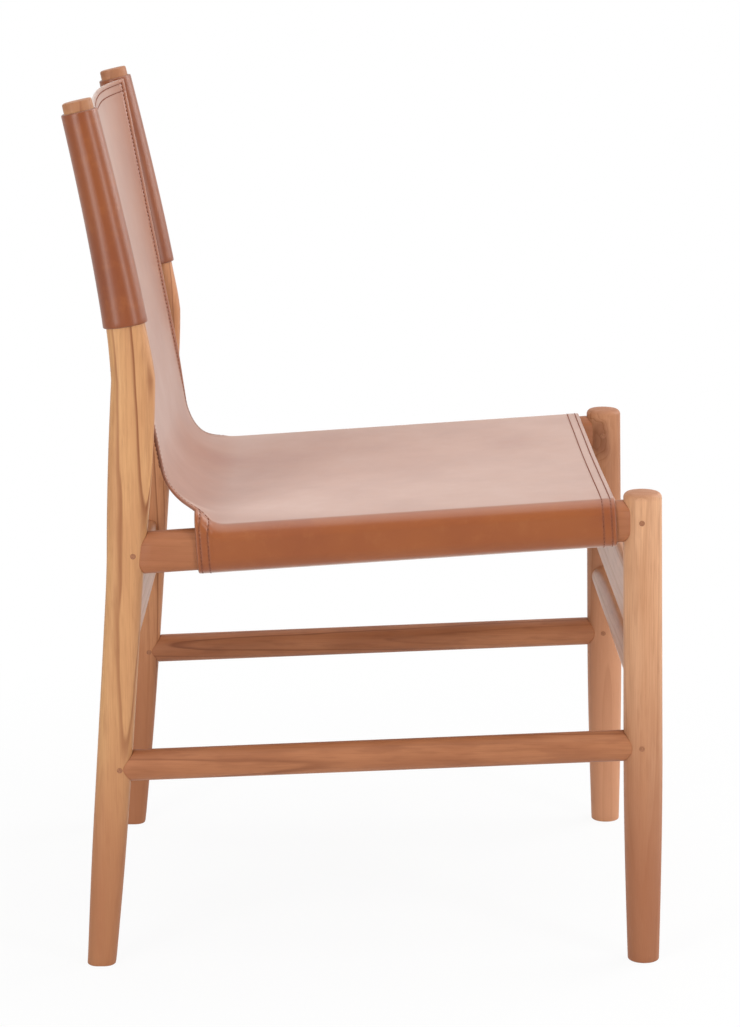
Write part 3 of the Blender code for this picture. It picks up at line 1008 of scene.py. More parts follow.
@dataclass
class Bar:
    """A straight bar between two uprights, coped to them, with a fine chamfer at each shoulder."""

    name: str
    node: str
    outline: list[Vector]
    start: Vector
    end: Vector
    start_upright: Upright
    end_upright: Upright
    gap: float = 0.0002
    chamfer: float = 0.0006
    seat: float = 0.004
    pitch: float = 0.012

    def __post_init__(self) -> None:
        """Works out the bar's length and its ways."""
        self.length = (self.end - self.start).length
        self.along = (self.end - self.start).normalized()
        self.across = Vector((0, 0, 1)).cross(self.along).normalized()
        self.up = self.along.cross(self.across)

    def point(self, p: Vector, at: float) -> Vector:
        """The place of an outline point at a distance along the bar."""
        return self.start + (self.across * p.x + self.up * p.y) + self.along * at

    def shoulders(self, upright: Upright, from_start: bool) -> list[float]:
        """How far along the bar each outline point meets an upright.

        Args:
            upright: what it meets.
            from_start: whether the upright is at the bar's start.

        Returns:
            The distances from the bar's start.
        """
        inside = 0.0 if from_start else self.length
        return [crossing(inside, self.length / 2, lambda at: upright.outside(self.point(p, at)) > self.gap)
                for p in self.outline]

    def build(self, finish: bpy.types.Material) -> bpy.types.Object:
        """Makes the bar.

        Args:
            finish: its wood.

        Returns:
            The finished piece.
        """
        firsts = self.shoulders(self.start_upright, True)
        lasts = self.shoulders(self.end_upright, False)
        inset = 1 - self.chamfer / max(p.length for p in self.outline)
        count = round(self.length / self.pitch)
        sections = [([at - self.seat for at in firsts], inset), (firsts, inset)]
        for step in range(count + 1):
            places = [mix(first + self.chamfer, last - self.chamfer, step / count)
                      for first, last in zip(firsts, lasts)]
            sections.append((places, 1.0))
        sections += [(lasts, inset), ([at + self.seat for at in lasts], inset)]
        rings = [[self.point(p * scale, at) for p, at in zip(self.outline, places)]
                 for places, scale in sections]
        return settle(new_piece(self.name, skin(rings), finish), Slot.TEAK, self.node)


@dataclass
class Peg:
    """A round peg through a joint, whose ends follow the faces that they show on."""

    node: str
    upright: Upright
    proud: float = 0.00025
    chamfer: float = 0.0005
    inner_ring: float = 0.5
    longest: float = 0.03
    facets: int = 28

    def end_point(self, side: Side, y: float, z: float, rise: float) -> Vector:
        """A point of the peg's end.

        Args:
            side: the side of the upright that the end shows on.
            y: the point's place from front to back.
            z: its height.
            rise: how far it stands above the upright's face.

        Returns:
            The point.
        """
        reach = crossing(0.0, self.longest,
                         lambda out: self.upright.outside(Vector((self.upright.x + side * out, y, z))) > 0)
        return Vector((self.upright.x + side * (reach + rise), y, z))

    def build(self, finish: bpy.types.Material) -> bpy.types.Object:
        """Makes the peg.

        Args:
            finish: its wood.

        Returns:
            The finished piece.
        """
        low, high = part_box(self.node)
        middle = (low + high) / 2
        radius = (high.z - low.z) / 2
        ends = ((1.0, -self.chamfer), (1.0 - self.chamfer / radius, self.proud),
                (self.inner_ring, self.proud))
        rings = []
        for side, order in ((Side.RIGHT, ends[::-1]), (Side.LEFT, ends)):
            rings += [[self.end_point(side, middle.y + p.x, middle.z + p.y, rise)
                       for p in round_outline(2 * radius * share, self.facets)] for share, rise in order]
        name = self.node.replace("peg_", "joint_peg_")
        return settle(new_piece(name, skin(rings), finish), Slot.PEG, self.node)


@dataclass
class Woods:
    """The teak of each piece, as a joiner would pick it. Pairs of pieces are listed by side."""

    legs: dict[Side, bpy.types.Material]
    posts: dict[Side, bpy.types.Material]
    rails: dict[Side, bpy.types.Material]
    stretchers: dict[Side, bpy.types.Material]
    boards: bpy.types.Material
    peg: bpy.types.Material

    @staticmethod
    def pair(left: TeakFinish, **changes: object) -> dict[Side, bpy.types.Material]:
        """Makes a pair of finishes whose rings mirror each other.

        Args:
            left: the left piece's finish.
            changes: what else differs on the right.

        Returns:
            Both materials, by side.
        """
        across, back = left.pith
        name = left.name.replace(Side.LEFT.label, Side.RIGHT.label)
        right = replace(left, name=name, pith=(-across, back), **changes)
        return {Side.LEFT: left.material(), Side.RIGHT: right.material()}

    @classmethod
    def pick(cls, side_x: float) -> Woods:
        """Makes the finishes.

        Args:
            side_x: how far the side frames stand from the middle.

        Returns:
            The set of finishes.
        """
        dark = tone(136, 82, 48)
        posts = cls.pair(
            TeakFinish("teak_post_left", Grain.UPRIGHT, tone(196, 138, 96), tone(178, 116, 76), dark,
                       foot=tone(158, 100, 66), pith=(side_x - 0.028, 0.240), ring_width=0.0082,
                       ring_lean=0.012, wander=0.011, ring_strength=1.2, vein=0.85, foot_share=0.8,
                       end_height=0.800),
            pale=tone(203, 153, 104), brown=tone(186, 132, 89))
        legs = cls.pair(
            TeakFinish("teak_leg_left", Grain.UPRIGHT, tone(182, 128, 92), tone(164, 109, 75), dark,
                       foot=tone(206, 148, 112), pith=(side_x - 0.045, -0.262), ring_width=0.0080,
                       ring_lean=0.022, foot_share=0.6, foot_height=0.42, end_height=0.4495,
                       knot=(side_x - 0.017, -0.2450, 0.417)),
            pale=tone(212, 162, 123), brown=tone(196, 142, 102), foot=tone(150, 92, 60), foot_share=0.9,
            foot_height=0.38, ring_strength=0.32, knot=None)
        rails = cls.pair(
            TeakFinish("teak_rail_left", Grain.FORE_AFT, tone(162, 102, 66), tone(150, 90, 56), dark,
                       pith=(side_x - 0.012, -0.52), ring_width=0.0068, ring_lean=0.020, ring_strength=0.35))
        stretchers = cls.pair(
            TeakFinish("teak_stretcher_left", Grain.FORE_AFT, tone(174, 114, 76), tone(144, 86, 53),
                       tone(120, 68, 40), pith=(side_x - 0.030, -0.205), ring_width=0.0080, ring_strength=1.0,
                       vein=0.85, dashes=0.30))
        boards = TeakFinish("teak_boards", Grain.ACROSS, tone(190, 136, 98), tone(178, 122, 80), dark,
                            pith=(0.30, -0.20), ring_width=0.0100, ring_lean=0.016, ring_strength=0.25,
                            polish=0.7, roughness=0.35).material()
        peg = PlainFinish("peg_end_grain", tone(158, 104, 70), tone(132, 82, 52), roughness=0.6).material()
        return cls(legs, posts, rails, stretchers, boards, peg)


@dataclass
class WoodFrame:
    """The teak frame: two side frames, the bars across them and the pegs."""

    legs: dict[Side, FrontLeg] = field(default_factory=dict)
    posts: dict[Side, BackPost] = field(default_factory=dict)
    side_rail_thickness: float = 0.026
    side_rail_height: float = 0.0385
    side_rail_corner: float = 0.0115
    side_rail_front: float = 0.4224
    side_rail_rear: float = 0.3934
    stretcher_diameter: float = 0.029
    cross_thickness: float = 0.020
    cross_height: float = 0.058
    cross_corner: float = 0.006
    facets: int = 48
    rail_facets: tuple[int, int] = (8, 2)
    board_facets: tuple[int, int] = (6, 3)

    def __post_init__(self) -> None:
        """Stands the uprights in the frame."""
        self.legs = {side: FrontLeg(side) for side in Side}
        self.posts = {side: BackPost(side) for side in Side}

    @property
    def side_x(self) -> float:
        """How far each side frame stands from the middle."""
        return self.legs[Side.LEFT].x

    def rail_height(self, y: float) -> float:
        """The height of a side rail's axis at a place along it.

        Args:
            y: the place.

        Returns:
            The height.
        """
        front = self.legs[Side.LEFT].axis_y(self.side_rail_front)
        rear = self.posts[Side.LEFT].axis_y(self.side_rail_rear)
        return mix(self.side_rail_front, self.side_rail_rear, (y - front) / (rear - front))

    def rail_slope(self) -> float:
        """How much a side rail falls for each metre back."""
        return self.rail_height(0.0) - self.rail_height(1.0)

    def side_bars(self, side: Side) -> list[Bar]:
        """The seat rail and the stretcher of one side.

        Args:
            side: which side.

        Returns:
            Both bars.
        """
        leg, post = self.legs[side], self.posts[side]
        low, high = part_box(f"side_stretcher_{side.label}")
        radius = self.stretcher_diameter / 2
        rail = rounded_outline(self.side_rail_thickness, self.side_rail_height, self.side_rail_corner,
                               *self.rail_facets)
        stretcher = round_outline(self.stretcher_diameter, self.facets)
        kinds = (("seat_rail", "side_rail", rail, self.side_rail_front, self.side_rail_rear),
                 ("turned_stretcher", "side_stretcher", stretcher, high.z - radius, low.z + radius))
        return [Bar(f"{name}_{side.label}", f"{node}_{side.label}", outline, leg.axis(front), post.axis(rear),
                    leg, post) for name, node, outline, front, rear in kinds]

    def cross_bars(self) -> list[Bar]:
        """The front rail, the back rail and the front stretcher.

        Returns:
            The bars.
        """
        board = rounded_outline(self.cross_thickness, self.cross_height, self.cross_corner,
                                *self.board_facets)
        bars = []
        kinds = (("front_board", "front_rail", self.legs), ("back_board", "back_rail", self.posts),
                 ("turned_front_stretcher", "front_stretcher", self.legs))
        for name, node, uprights in kinds:
            low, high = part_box(node)
            middle = (low + high) / 2
            outline = round_outline(high.z - low.z, self.facets) if "stretcher" in node else board
            ways = (Side.RIGHT, Side.LEFT)
            start, end = (Vector((side * self.side_x, middle.y, middle.z)) for side in ways)
            bars.append(Bar(name, node, outline, start, end, *(uprights[side] for side in ways)))
        return bars

    def build(self, woods: Woods) -> None:
        """Builds every piece of wood.

        Args:
            woods: the finishes.
        """
        for side in Side:
            leg, post = self.legs[side], self.posts[side]
            leg.build(woods.legs[side])
            post.build(woods.posts[side])
            rail, stretcher = self.side_bars(side)
            rail.build(woods.rails[side])
            stretcher.build(woods.stretchers[side])
            for kind in ("side_rail", "side_stretcher"):
                Peg(f"peg_{kind}_front_{side.label}", leg).build(woods.peg)
                Peg(f"peg_{kind}_rear_{side.label}", post).build(woods.peg)
        for bar in self.cross_bars():
            bar.build(woods.boards)


@dataclass
class Sling:
    """Seat and back in one sheet of leather, wrapped over and under the side rails.

    A place on the sheet is its distance along the middle from the seat's front edge, and its distance
    across from the middle, both measured on the leather. The corners and edges differ a little from side
    to side: the right is the near side, and the left the far one.
    """

    wood: WoodFrame
    thickness: float = LEATHER_THICKNESS
    gap: float = LEATHER_GAP
    front_gap: float = 0.0085
    wrap_setback: float = 0.0462
    free_height: float = 0.45
    free_setback: float = 0.004
    bend_radius: float = 0.058
    recess_knee: float = 0.0110
    recess_top: float = 0.0052
    sleeve_approach: float = 0.025
    below_sleeve_top: float = 0.001
    seat_sag: float = 0.006
    front_sag: float = 0.002
    sag_power: float = 1.8
    back_bow: float = 0.0108
    corner_bow: float = 0.009
    bow_powers: Pair = (2.0, 3.4)
    bow_skew: float = 0.85
    hem: float = 0.0155
    hem_fall: Pair = (-0.003, 0.001)
    hem_rise: float = 0.00022
    side_hem: float = 0.0062
    side_hem_fall: Pair = (-0.001, 0.001)
    edge_drop: float = 0.0005
    edge_rounding: float = 0.0016
    seams: Pair = (0.0042, 0.0120)
    seam_tuck: float = 0.003
    seam_pitch: float = 0.004
    corner_seam_pitch: float = 0.003
    corner_seam_step: float = math.radians(15)
    groove_depth: float = 0.00035
    groove_width: float = 0.0008
    relax: float = 0.040
    leave: float = 0.006
    corner_turn: float = 0.25
    corner_lift: float = 0.0100
    corner_lift_start: float = 0.15
    corner_lift_fore: float = 0.013
    corner_lift_back: float = 0.050
    corner_lift_far: float = 0.2
    far_settle: float = 0.70
    far_settle_start: float = 0.12
    far_settle_reach: Pair = (-0.005, 0.060)
    far_curl: float = 0.0038
    far_curl_width: float = 0.009
    far_curl_reach: Pair = (-0.02, 0.06)
    near_edge_fore: float = 0.0045
    wrap_draw: float = 0.004
    tuck: float = 0.005
    ripple: float = 0.0006
    ripple_waves: Triple = (9.0, 11.0, 3.7)
    bend_ripple: float = 0.0009
    bend_ripple_place: float = 0.03
    bend_ripple_reach: float = 0.06
    still_edge: float = 0.06
    tilt_rounds: int = 3
    probe: float = 0.0004
    area_pitch: float = 0.005
    rim: float = 0.0008
    rim_facets: int = 2
    hem_margin: float = 0.002
    corner_zone: float = 0.045
    fine: float = 0.0009
    coarse: float = 0.0055
    corner_pitches: Triple = (0.0020, 0.0022, 0.0035)
    wrap_pitches: Triple = (0.0012, 0.0030, 0.0010)

    def __post_init__(self) -> None:
        """Works out the side view of the sheet and the section of its wraps."""
        self.reaches: dict[tuple[float, Side], float] = {}
        self.half_height = self.wood.side_rail_height / 2 * math.sqrt(1 + self.wood.rail_slope() ** 2)
        self.draw_side_view()
        self.draw_wraps()

    def draw_side_view(self) -> None:
        """Works out the seat's line, the bend and the back's line, as (y, z)."""
        leg, post = self.wood.legs[Side.LEFT], self.wood.posts[Side.LEFT]
        rail = self.wood.side_rail_front
        front_y = leg.axis_y(rail) + leg.radius(rail) + self.front_gap
        self.front = Vector((front_y, self.wood.rail_height(front_y) + self.half_height + self.gap))
        knee = Vector((post.front_y(post.knee_height) + self.recess_knee + self.thickness, post.knee_height))
        top = Vector((post.front_y(SLEEVE_TOP) + self.recess_top + self.thickness,
                      SLEEVE_TOP - self.below_sleeve_top))
        self.seat_way = Vector((1.0, -self.wood.rail_slope())).normalized()
        self.back_way = (top - knee).normalized()
        self.up = Vector((-self.seat_way.y, self.seat_way.x))
        self.out = Vector((-self.back_way.y, self.back_way.x))
        across = self.seat_way.x * self.back_way.y - self.seat_way.y * self.back_way.x
        offset = knee - self.front
        seat_length = (offset.x * self.back_way.y - offset.y * self.back_way.x) / across
        turn = math.atan2(across, self.seat_way.dot(self.back_way))
        tangent = self.bend_radius * math.tan(turn / 2)
        self.seat_end = seat_length - tangent
        self.bend_end = self.seat_end + self.bend_radius * turn
        self.centre = self.front + self.seat_way * self.seat_end + self.up * self.bend_radius
        self.rise_start = self.front + self.seat_way * seat_length + self.back_way * tangent
        self.length = self.bend_end + (top - self.rise_start).length

    def draw_wraps(self) -> None:
        """Works out where the sheet turns round a rail, as distances across it, and where its wraps end."""
        rail_x, post = self.wood.side_x, self.wood.posts[Side.LEFT]
        self.rail_radius = self.wood.side_rail_corner + self.gap
        self.rail_flat = self.wood.side_rail_thickness / 2 + self.gap - self.rail_radius
        self.quarter = QUARTER_TURN * self.rail_radius
        self.crown = rail_x - self.rail_flat
        self.shoulder = self.crown + 2 * self.rail_flat
        self.drop_start = self.shoulder + self.quarter
        self.drop_end = self.drop_start + 2 * (self.half_height + self.gap - self.rail_radius)
        self.under_start = self.drop_end + self.quarter
        self.under_end = self.under_start + 2 * self.rail_flat
        self.full = self.under_end + self.tuck
        self.edge_x = rail_x - post.thickness / 2 - 2 * self.gap - self.thickness
        self.corner_across = self.shoulder + self.quarter * self.corner_turn
        self.wrap_end = self.along_at(post.front_y(self.wood.side_rail_rear) - self.wrap_setback)
        self.free_end = self.along_at(post.front_y(self.free_height) - self.free_setback)

    def along_at(self, y: float) -> float:
        """How far along the sheet its middle line reaches a given Y, before the back panel."""
        return crossing(0.0, self.bend_end, lambda along: self.path(along)[0].x >= y)

    def path(self, along: float) -> tuple[Vector, Vector]:
        """Side view of the sheet's underside where it is held.

        Args:
            along: the distance from the front edge.

        Returns:
            The point as (y, z), and the way towards the sitter's side.
        """
        if along <= self.seat_end:
            lean = smooth_share(along, 0.0, self.seat_end)
            return self.front + self.seat_way * along, Vector((0.0, 1.0)).lerp(self.up, lean).normalized()
        if along <= self.bend_end:
            angle = (along - self.seat_end) / self.bend_radius
            spoke = self.seat_way * math.sin(angle) - self.up * math.cos(angle)
            return self.centre + spoke * self.bend_radius, -spoke
        return self.rise_start + self.back_way * (along - self.bend_end), self.out

    def reach(self, along: float, side: Side) -> float:
        """How far the sheet reaches across on a side, beyond which its free edge lies.

        Args:
            along: the distance from the front edge.
            side: which side.

        Returns:
            The distance from the middle.
        """
        if along <= self.wrap_end:
            return self.corner_across
        key = (along, side)
        if key not in self.reaches:
            base, way = self.path(min(along, self.length))
            place = base + way * self.fore(along, side)
            bottom = SLEEVE_TOP - SLEEVE_LENGTH
            near = smooth_share(place.y, bottom - self.sleeve_approach, bottom)
            held = mix(self.edge_x, self.sleeve_face(place, side), near)
            share = smooth_share(along, self.wrap_end - self.leave, self.free_end)
            self.reaches[key] = mix(self.corner_across, held, share)
        return self.reaches[key]

    def fore(self, along: float, side: Side) -> float:
        """How far forward the panel's edge lies on a side.

        Args:
            along: the distance from the front edge.
            side: which side.

        Returns:
            The distance.
        """
        if side == Side.RIGHT:
            return self.near_edge_fore * smooth_share(along, self.bend_end, self.length)
        return self.far_curl * smooth_share(along - self.bend_end, *self.far_curl_reach)

    def fore_share(self, along: float, out: float, side: Side) -> float:
        """How much of its edge's way forward the panel goes.

        Args:
            along: the distance from the front edge.
            out: the distance from the middle.
            side: which side.

        Returns:
            The share.
        """
        if side == Side.RIGHT:
            return out / self.edge_x
        return max(1 - (self.reach(along, side) - out) / self.far_curl_width, 0.0) ** 2

    def sleeve_face(self, place: Vector, side: Side) -> float:
        """How far across the sheet's inner face can lie before it touches a sleeve.

        Args:
            place: where the sheet's inner face is, as (y, z).
            side: which side.

        Returns:
            The distance from the middle.
        """
        post = self.wood.posts[side]
        grow = self.gap + self.thickness
        z = place.y
        for _ in range(self.tilt_rounds):
            inset = (place.x - post.axis_y(z)) / math.cos(post.tilt(z))
            z = place.y + inset * math.sin(post.tilt(z))
        half_depth = post.depth_at(z) / 2 + grow
        half_width = post.thickness_at(z) / 2 + grow
        radius = min(post.corner_radius + grow + SLEEVE_SOFTNESS, half_width, half_depth)
        past = max(radius - half_depth + abs(inset), 0.0)
        rounding = radius - math.sqrt(max(radius ** 2 - past ** 2, 0.0))
        return self.wood.side_x - half_width + rounding - self.gap

    def bow(self, along: float, across: float) -> float:
        """How far the leather gives between its two held edges.

        Args:
            along: the distance from the front edge.
            across: the distance from the middle, to the left.

        Returns:
            The distance.
        """
        if along <= self.seat_end:
            depth = mix(self.front_sag, self.seat_sag, math.sin(QUARTER_TURN * along / self.seat_end))
            hold = self.corner_across
        elif along <= self.bend_end:
            share = (along - self.seat_end) / (self.bend_end - self.seat_end)
            depth = mix(self.seat_sag, self.corner_bow, share)
            hold = mix(self.corner_across, self.edge_x, share)
        else:
            share = (along - self.bend_end) / (self.length - self.bend_end)
            depth = mix(self.corner_bow, self.back_bow, share)
            hold = self.edge_x
        rise = smooth_share(along, self.bend_end, self.length)
        lean = 1 + self.bow_skew * rise * rise * across / hold
        power = mix(self.sag_power, 1.0, smooth_share(along, self.seat_end, self.bend_end))
        return depth * lean * max(1 - abs(across / hold) ** mix(*self.bow_powers, rise), 0.0) ** power

    def wrap(self, across: float) -> Pair:
        """Section of the leather's inner face where it wraps a rail.

        Args:
            across: the distance from the middle, at or beyond the rail's crown.

        Returns:
            How far out it is, and how far below the crown.
        """
        rail_x, flat, radius = self.wood.side_x, self.rail_flat, self.rail_radius
        low = 2 * (self.half_height + self.gap)
        if across <= self.shoulder:
            return across, 0.0
        if across <= self.drop_start:
            angle = (across - self.shoulder) / radius
            return rail_x + flat + radius * math.sin(angle), radius * (1 - math.cos(angle))
        if across <= self.drop_end:
            return rail_x + flat + radius, radius + across - self.drop_start
        if across <= self.under_start:
            angle = (across - self.drop_end) / radius
            return rail_x + flat + radius * math.cos(angle), low - radius * (1 - math.sin(angle))
        if across <= self.under_end:
            return rail_x + flat - (across - self.under_start), low
        angle = (across - self.under_end) / radius
        return rail_x - flat - radius * math.sin(angle), low - radius * (1 - math.cos(angle))

    def unsettled(self, along: float, out: float, side: Side) -> Vector:
        """The side view of the sheet with its uneven corners and edges.

        Args:
            along: the distance from the front edge.
            out: the distance from the middle.
            side: which side.

        Returns:
            The point as (y, z).
        """
        base, way = self.path(along)
        past = along - self.wrap_end
        lift_reach = self.corner_lift_back if past > 0 else self.corner_lift_fore
        lift = self.corner_lift * math.exp(-(past / lift_reach) ** 2)
        lift *= smooth_share(out, self.corner_lift_start, self.corner_across)
        place = base + self.up * (lift * (1.0 if side == Side.RIGHT else self.corner_lift_far))
        if side == Side.LEFT:
            settled = self.far_settle * (1 - smooth_share(past, *self.far_settle_reach))
            settled *= smooth_share(out, self.far_settle_start, self.corner_across)
            place -= self.up * ((place - self.front).dot(self.up) * settled)
        return place + way * (self.fore(along, side) * self.fore_share(along, out, side))

    def point(self, along: float, across: float) -> Vector:
        """A point of the sheet's inner face.

        Args:
            along: the distance from the front edge.
            across: the distance from the middle, to the left.

        Returns:
            The point.
        """
        side = Side.of(across)
        x = out = abs(across)
        place = self.unsettled(along, out, side)
        if out > self.crown:
            wrap_x, drop = self.wrap(out)
            lifted = max((place - self.front).dot(self.up), 0.0)
            stretch = smooth_share(out, self.drop_start - self.wrap_draw, self.drop_end)
            hold = 1 - smooth_share(along, self.wrap_end, self.wrap_end + self.relax)
            x = mix(out, wrap_x, hold)
            place -= self.up * (drop + lifted * stretch) * hold
        waves_across, waves_along, slice_at = self.ripple_waves
        wave = noise.noise(Vector((side * x * waves_across, along * waves_along, slice_at)))
        place -= self.path(along)[1] * (self.bow(along, side * out) + wave * self.ripple_at(along, out, side))
        return Vector((side * x, place.x, place.y))

    def ripple_at(self, along: float, out: float, side: Side) -> float:
        """How uneven the leather lies: still where it is held, and softest in the bend.

        Args:
            along: the distance from the front edge.
            out: the distance from the middle.
            side: which side.

        Returns:
            The height of its ripples.
        """
        still = smooth_share(self.reach(along, side) - out, 0.0, self.still_edge)
        bent = math.exp(-((along - self.seat_end - self.bend_ripple_place) / self.bend_ripple_reach) ** 2)
        return (self.ripple + self.bend_ripple * bent) * still

    def frame_at(self, along: float, across: float) -> tuple[Vector, Vector]:
        """The sheet's inner face at a place.

        Args:
            along: the distance from the front edge.
            across: the distance from the middle.

        Returns:
            The point, and the way out of the leather.
        """
        step = self.probe
        ahead = self.point(along + step, across) - self.point(along - step, across)
        aside = self.point(along, across + step) - self.point(along, across - step)
        return self.point(along, across), aside.cross(ahead).normalized()

    def end_distance(self, along: float) -> float:
        """How far a place is from the nearer end of the sheet."""
        return min(along, self.length - along)

    def edge_distance(self, along: float, across: float) -> float:
        """How far a place is from the sheet's nearest cut edge.

        Args:
            along: the distance from the front edge.
            across: the distance from the middle.

        Returns:
            The distance.
        """
        out = abs(across)
        ends = self.end_distance(along)
        if out > self.corner_across:
            return min(ends, self.wrap_end - along, self.full - out)
        if along > self.wrap_end:
            return min(ends, self.reach(along, Side.of(across)) - out)
        return min(ends, math.hypot(self.wrap_end - along, self.corner_across - out))

    def relief(self, along: float, across: float) -> Pair:
        """Turned hem and seam grooves.

        Args:
            along: the distance from the front edge.
            across: the distance from the middle.

        Returns:
            The height above the plain leather, and how deep in a groove, from 0 to 1.
        """
        inset = self.edge_distance(along, across)
        ends = self.end_distance(along)
        first, second = self.seams
        past = self.wrap_end - along
        inward = self.corner_across - abs(across)
        broad = min(ends, math.hypot(past, inward))
        inner_seam = ends - second
        if inward < 0:
            broad, inner_seam = inset, inset - second
        elif past >= 0:
            inner_seam = min(abs(inner_seam), (math.hypot(past / second, inward / first) - 1) * second / 2)
        hem = max(1 - smooth_share(broad - self.hem, *self.hem_fall),
                  1 - smooth_share(inset - self.side_hem, *self.side_hem_fall))
        groove = sum(math.exp(-(away / self.groove_width) ** 2) for away in (inset - first, inner_seam))
        rise = self.hem_rise * hem - self.edge_drop * (1 - smooth_share(inset, 0.0, self.edge_rounding))
        return rise - self.groove_depth * groove, min(groove, 1.0)

    def outer(self, along: float, across: float, lift: float) -> tuple[Vector, Vector]:
        """The leather's outer face at a place, lifted, with the way out of it."""
        here, out = self.frame_at(along, across)
        return here + out * (self.thickness + self.relief(along, across)[0] + lift), out

    def back(self, along: float, across: float, lift: float) -> tuple[Vector, Vector]:
        """The leather's inner face at a place, lifted, with the way out of it."""
        here, out = self.frame_at(along, across)
        return here - out * lift, -out

    def rows(self) -> list[float]:
        """Distances along the sheet at which its mesh has a row.

        Returns:
            The distances, from the front edge to the top.
        """
        hem = self.hem + self.hem_margin
        before, leaving, free = self.corner_pitches
        return stepped((0.0, self.fine), (hem, self.coarse), (self.wrap_end - self.corner_zone, before),
                       (self.wrap_end - hem, self.fine), (self.wrap_end, leaving), (self.free_end, free),
                       (self.bend_end, self.coarse), (self.length - hem, self.fine), (self.length, self.fine))

    def web_columns(self, along: float) -> list[float]:
        """Distances across the sheet, between its free edges or wraps, at one row.

        Args:
            along: the row's distance from the front edge.

        Returns:
            The distances, from right to left.
        """
        left, right = (self.reach(along, side) for side in Side)
        hem = self.hem + self.hem_margin
        insets = spread(0.0, hem, self.fine)
        shares = spread(0.0, 1.0, self.coarse / self.edge_x / 2)[1:-1]
        inner = [mix(hem - right, left - hem, share) for share in shares]
        return [inset - right for inset in insets] + inner + [left - inset for inset in reversed(insets)]

    def wrap_columns(self) -> list[float]:
        """Distances across the sheet, round a rail, from the corner to the hidden edge.

        Returns:
            The distances.
        """
        turning, dropping, under = self.wrap_pitches
        return stepped((self.corner_across, turning), (self.drop_start, dropping), (self.drop_end, turning),
                       (self.under_start, under), (self.full, under))[1:]

    def build(self, finish: bpy.types.Material) -> bpy.types.Object:
        """Cuts, hems and hangs the sheet.

        Args:
            finish: its leather.

        Returns:
            The finished piece.
        """
        bm = bmesh.new()
        groove = bm.verts.layers.float.new("groove")
        flesh = bm.verts.layers.float.new("flesh")
        edge = bm.verts.layers.float.new("edge")
        rim = bm.edges.layers.float.new("bevel_weight_edge")
        wraps = self.wrap_columns()
        faces_in: list[list[Optional[bmesh.types.BMVert]]] = []
        faces_out: list[list[Optional[bmesh.types.BMVert]]] = []
        for along in self.rows():
            held = along <= self.wrap_end + self.fine / 2
            left = [across if held else None for across in wraps]
            right = [-across if held else None for across in reversed(wraps)]
            faces_in.append([])
            faces_out.append([])
            for across in right + self.web_columns(along) + left:
                inner = outer = None
                if across is not None:
                    here, out = self.frame_at(along, across)
                    rise, depth = self.relief(along, across)
                    inner = bm.verts.new(here)
                    outer = bm.verts.new(here + out * (self.thickness + rise))
                    inner[flesh] = 1.0
                    # The groove depth also sets how much painted shade darkens the groove in the leather's
                    # colour.
                    outer[groove] = depth
                faces_in[-1].append(inner)
                faces_out[-1].append(outer)
        for grid, turn in ((faces_in, -1), (faces_out, 1)):
            for lower, upper in zip(grid, grid[1:]):
                for corners in zip(lower, lower[1:], upper[1:], upper):
                    if None not in corners:
                        bm.faces.new(corners[::turn])
        partner = {inner: outer for row_in, row_out in zip(faces_in, faces_out)
                   for inner, outer in zip(row_in, row_out) if inner is not None}
        open_edges = [link for link in bm.edges if link.is_boundary]
        for link in open_edges:
            first, second = link.verts
            if first in partner and second in partner:
                bm.faces.new((first, second, partner[second], partner[first]))
        bmesh.ops.recalc_face_normals(bm, faces=bm.faces)
        for link in open_edges:
            link[rim] = 1.0
            for vert in link.verts:
                vert[edge] = 1.0
                vert[flesh] = 0.0
        sling = new_piece("sling_leather", bm, finish)
        soften = sling.modifiers.new("rim", "BEVEL")
        soften.limit_method = "WEIGHT"
        soften.width = self.rim
        soften.segments = self.rim_facets
        make_plain(sling)
        self.flat_area()
        return settle(sling, Slot.LEATHER, "leather_sling")

    def flat_area(self) -> float:
        """The area of the leather as it is cut.

        Returns:
            Square metres.
        """
        wings = 2 * (self.full - self.corner_across) * self.wrap_end
        rows = spread(0.0, self.length, self.area_pitch)
        widths = sum(self.reach(along, side) for along in rows for side in Side)
        return widths / len(rows) * self.length + wings

    def seam_lines(self) -> list[list[Pair]]:
        """Where the stitches run.

        Returns:
            Lines of places on the sheet.
        """
        lines: list[list[Pair]] = []
        tuck = self.full - self.seam_tuck
        outer = self.seams[0]
        for inset in self.seams:
            left, right = (self.reach(self.length, side) - outer for side in Side)
            lines.append([(inset, across) for across in spread(-tuck, tuck, self.seam_pitch)])
            lines.append([(self.length - inset, across) for across in spread(-right, left, self.seam_pitch)])
            for side in Side:
                line = [(self.wrap_end - inset, across)
                        for across in spread(tuck, self.corner_across, self.corner_seam_pitch)]
                line += [(self.wrap_end - inset * math.cos(turn), self.corner_across - outer * math.sin(turn))
                         for turn in spread(0, QUARTER_TURN, self.corner_seam_step)[1:]]
                if inset == outer:
                    line += [(along, self.reach(along, side) - inset)
                             for along in spread(self.wrap_end, self.length - inset, self.seam_pitch)[1:]]
                lines.append([(along, side * across) for along, across in line])
        return lines


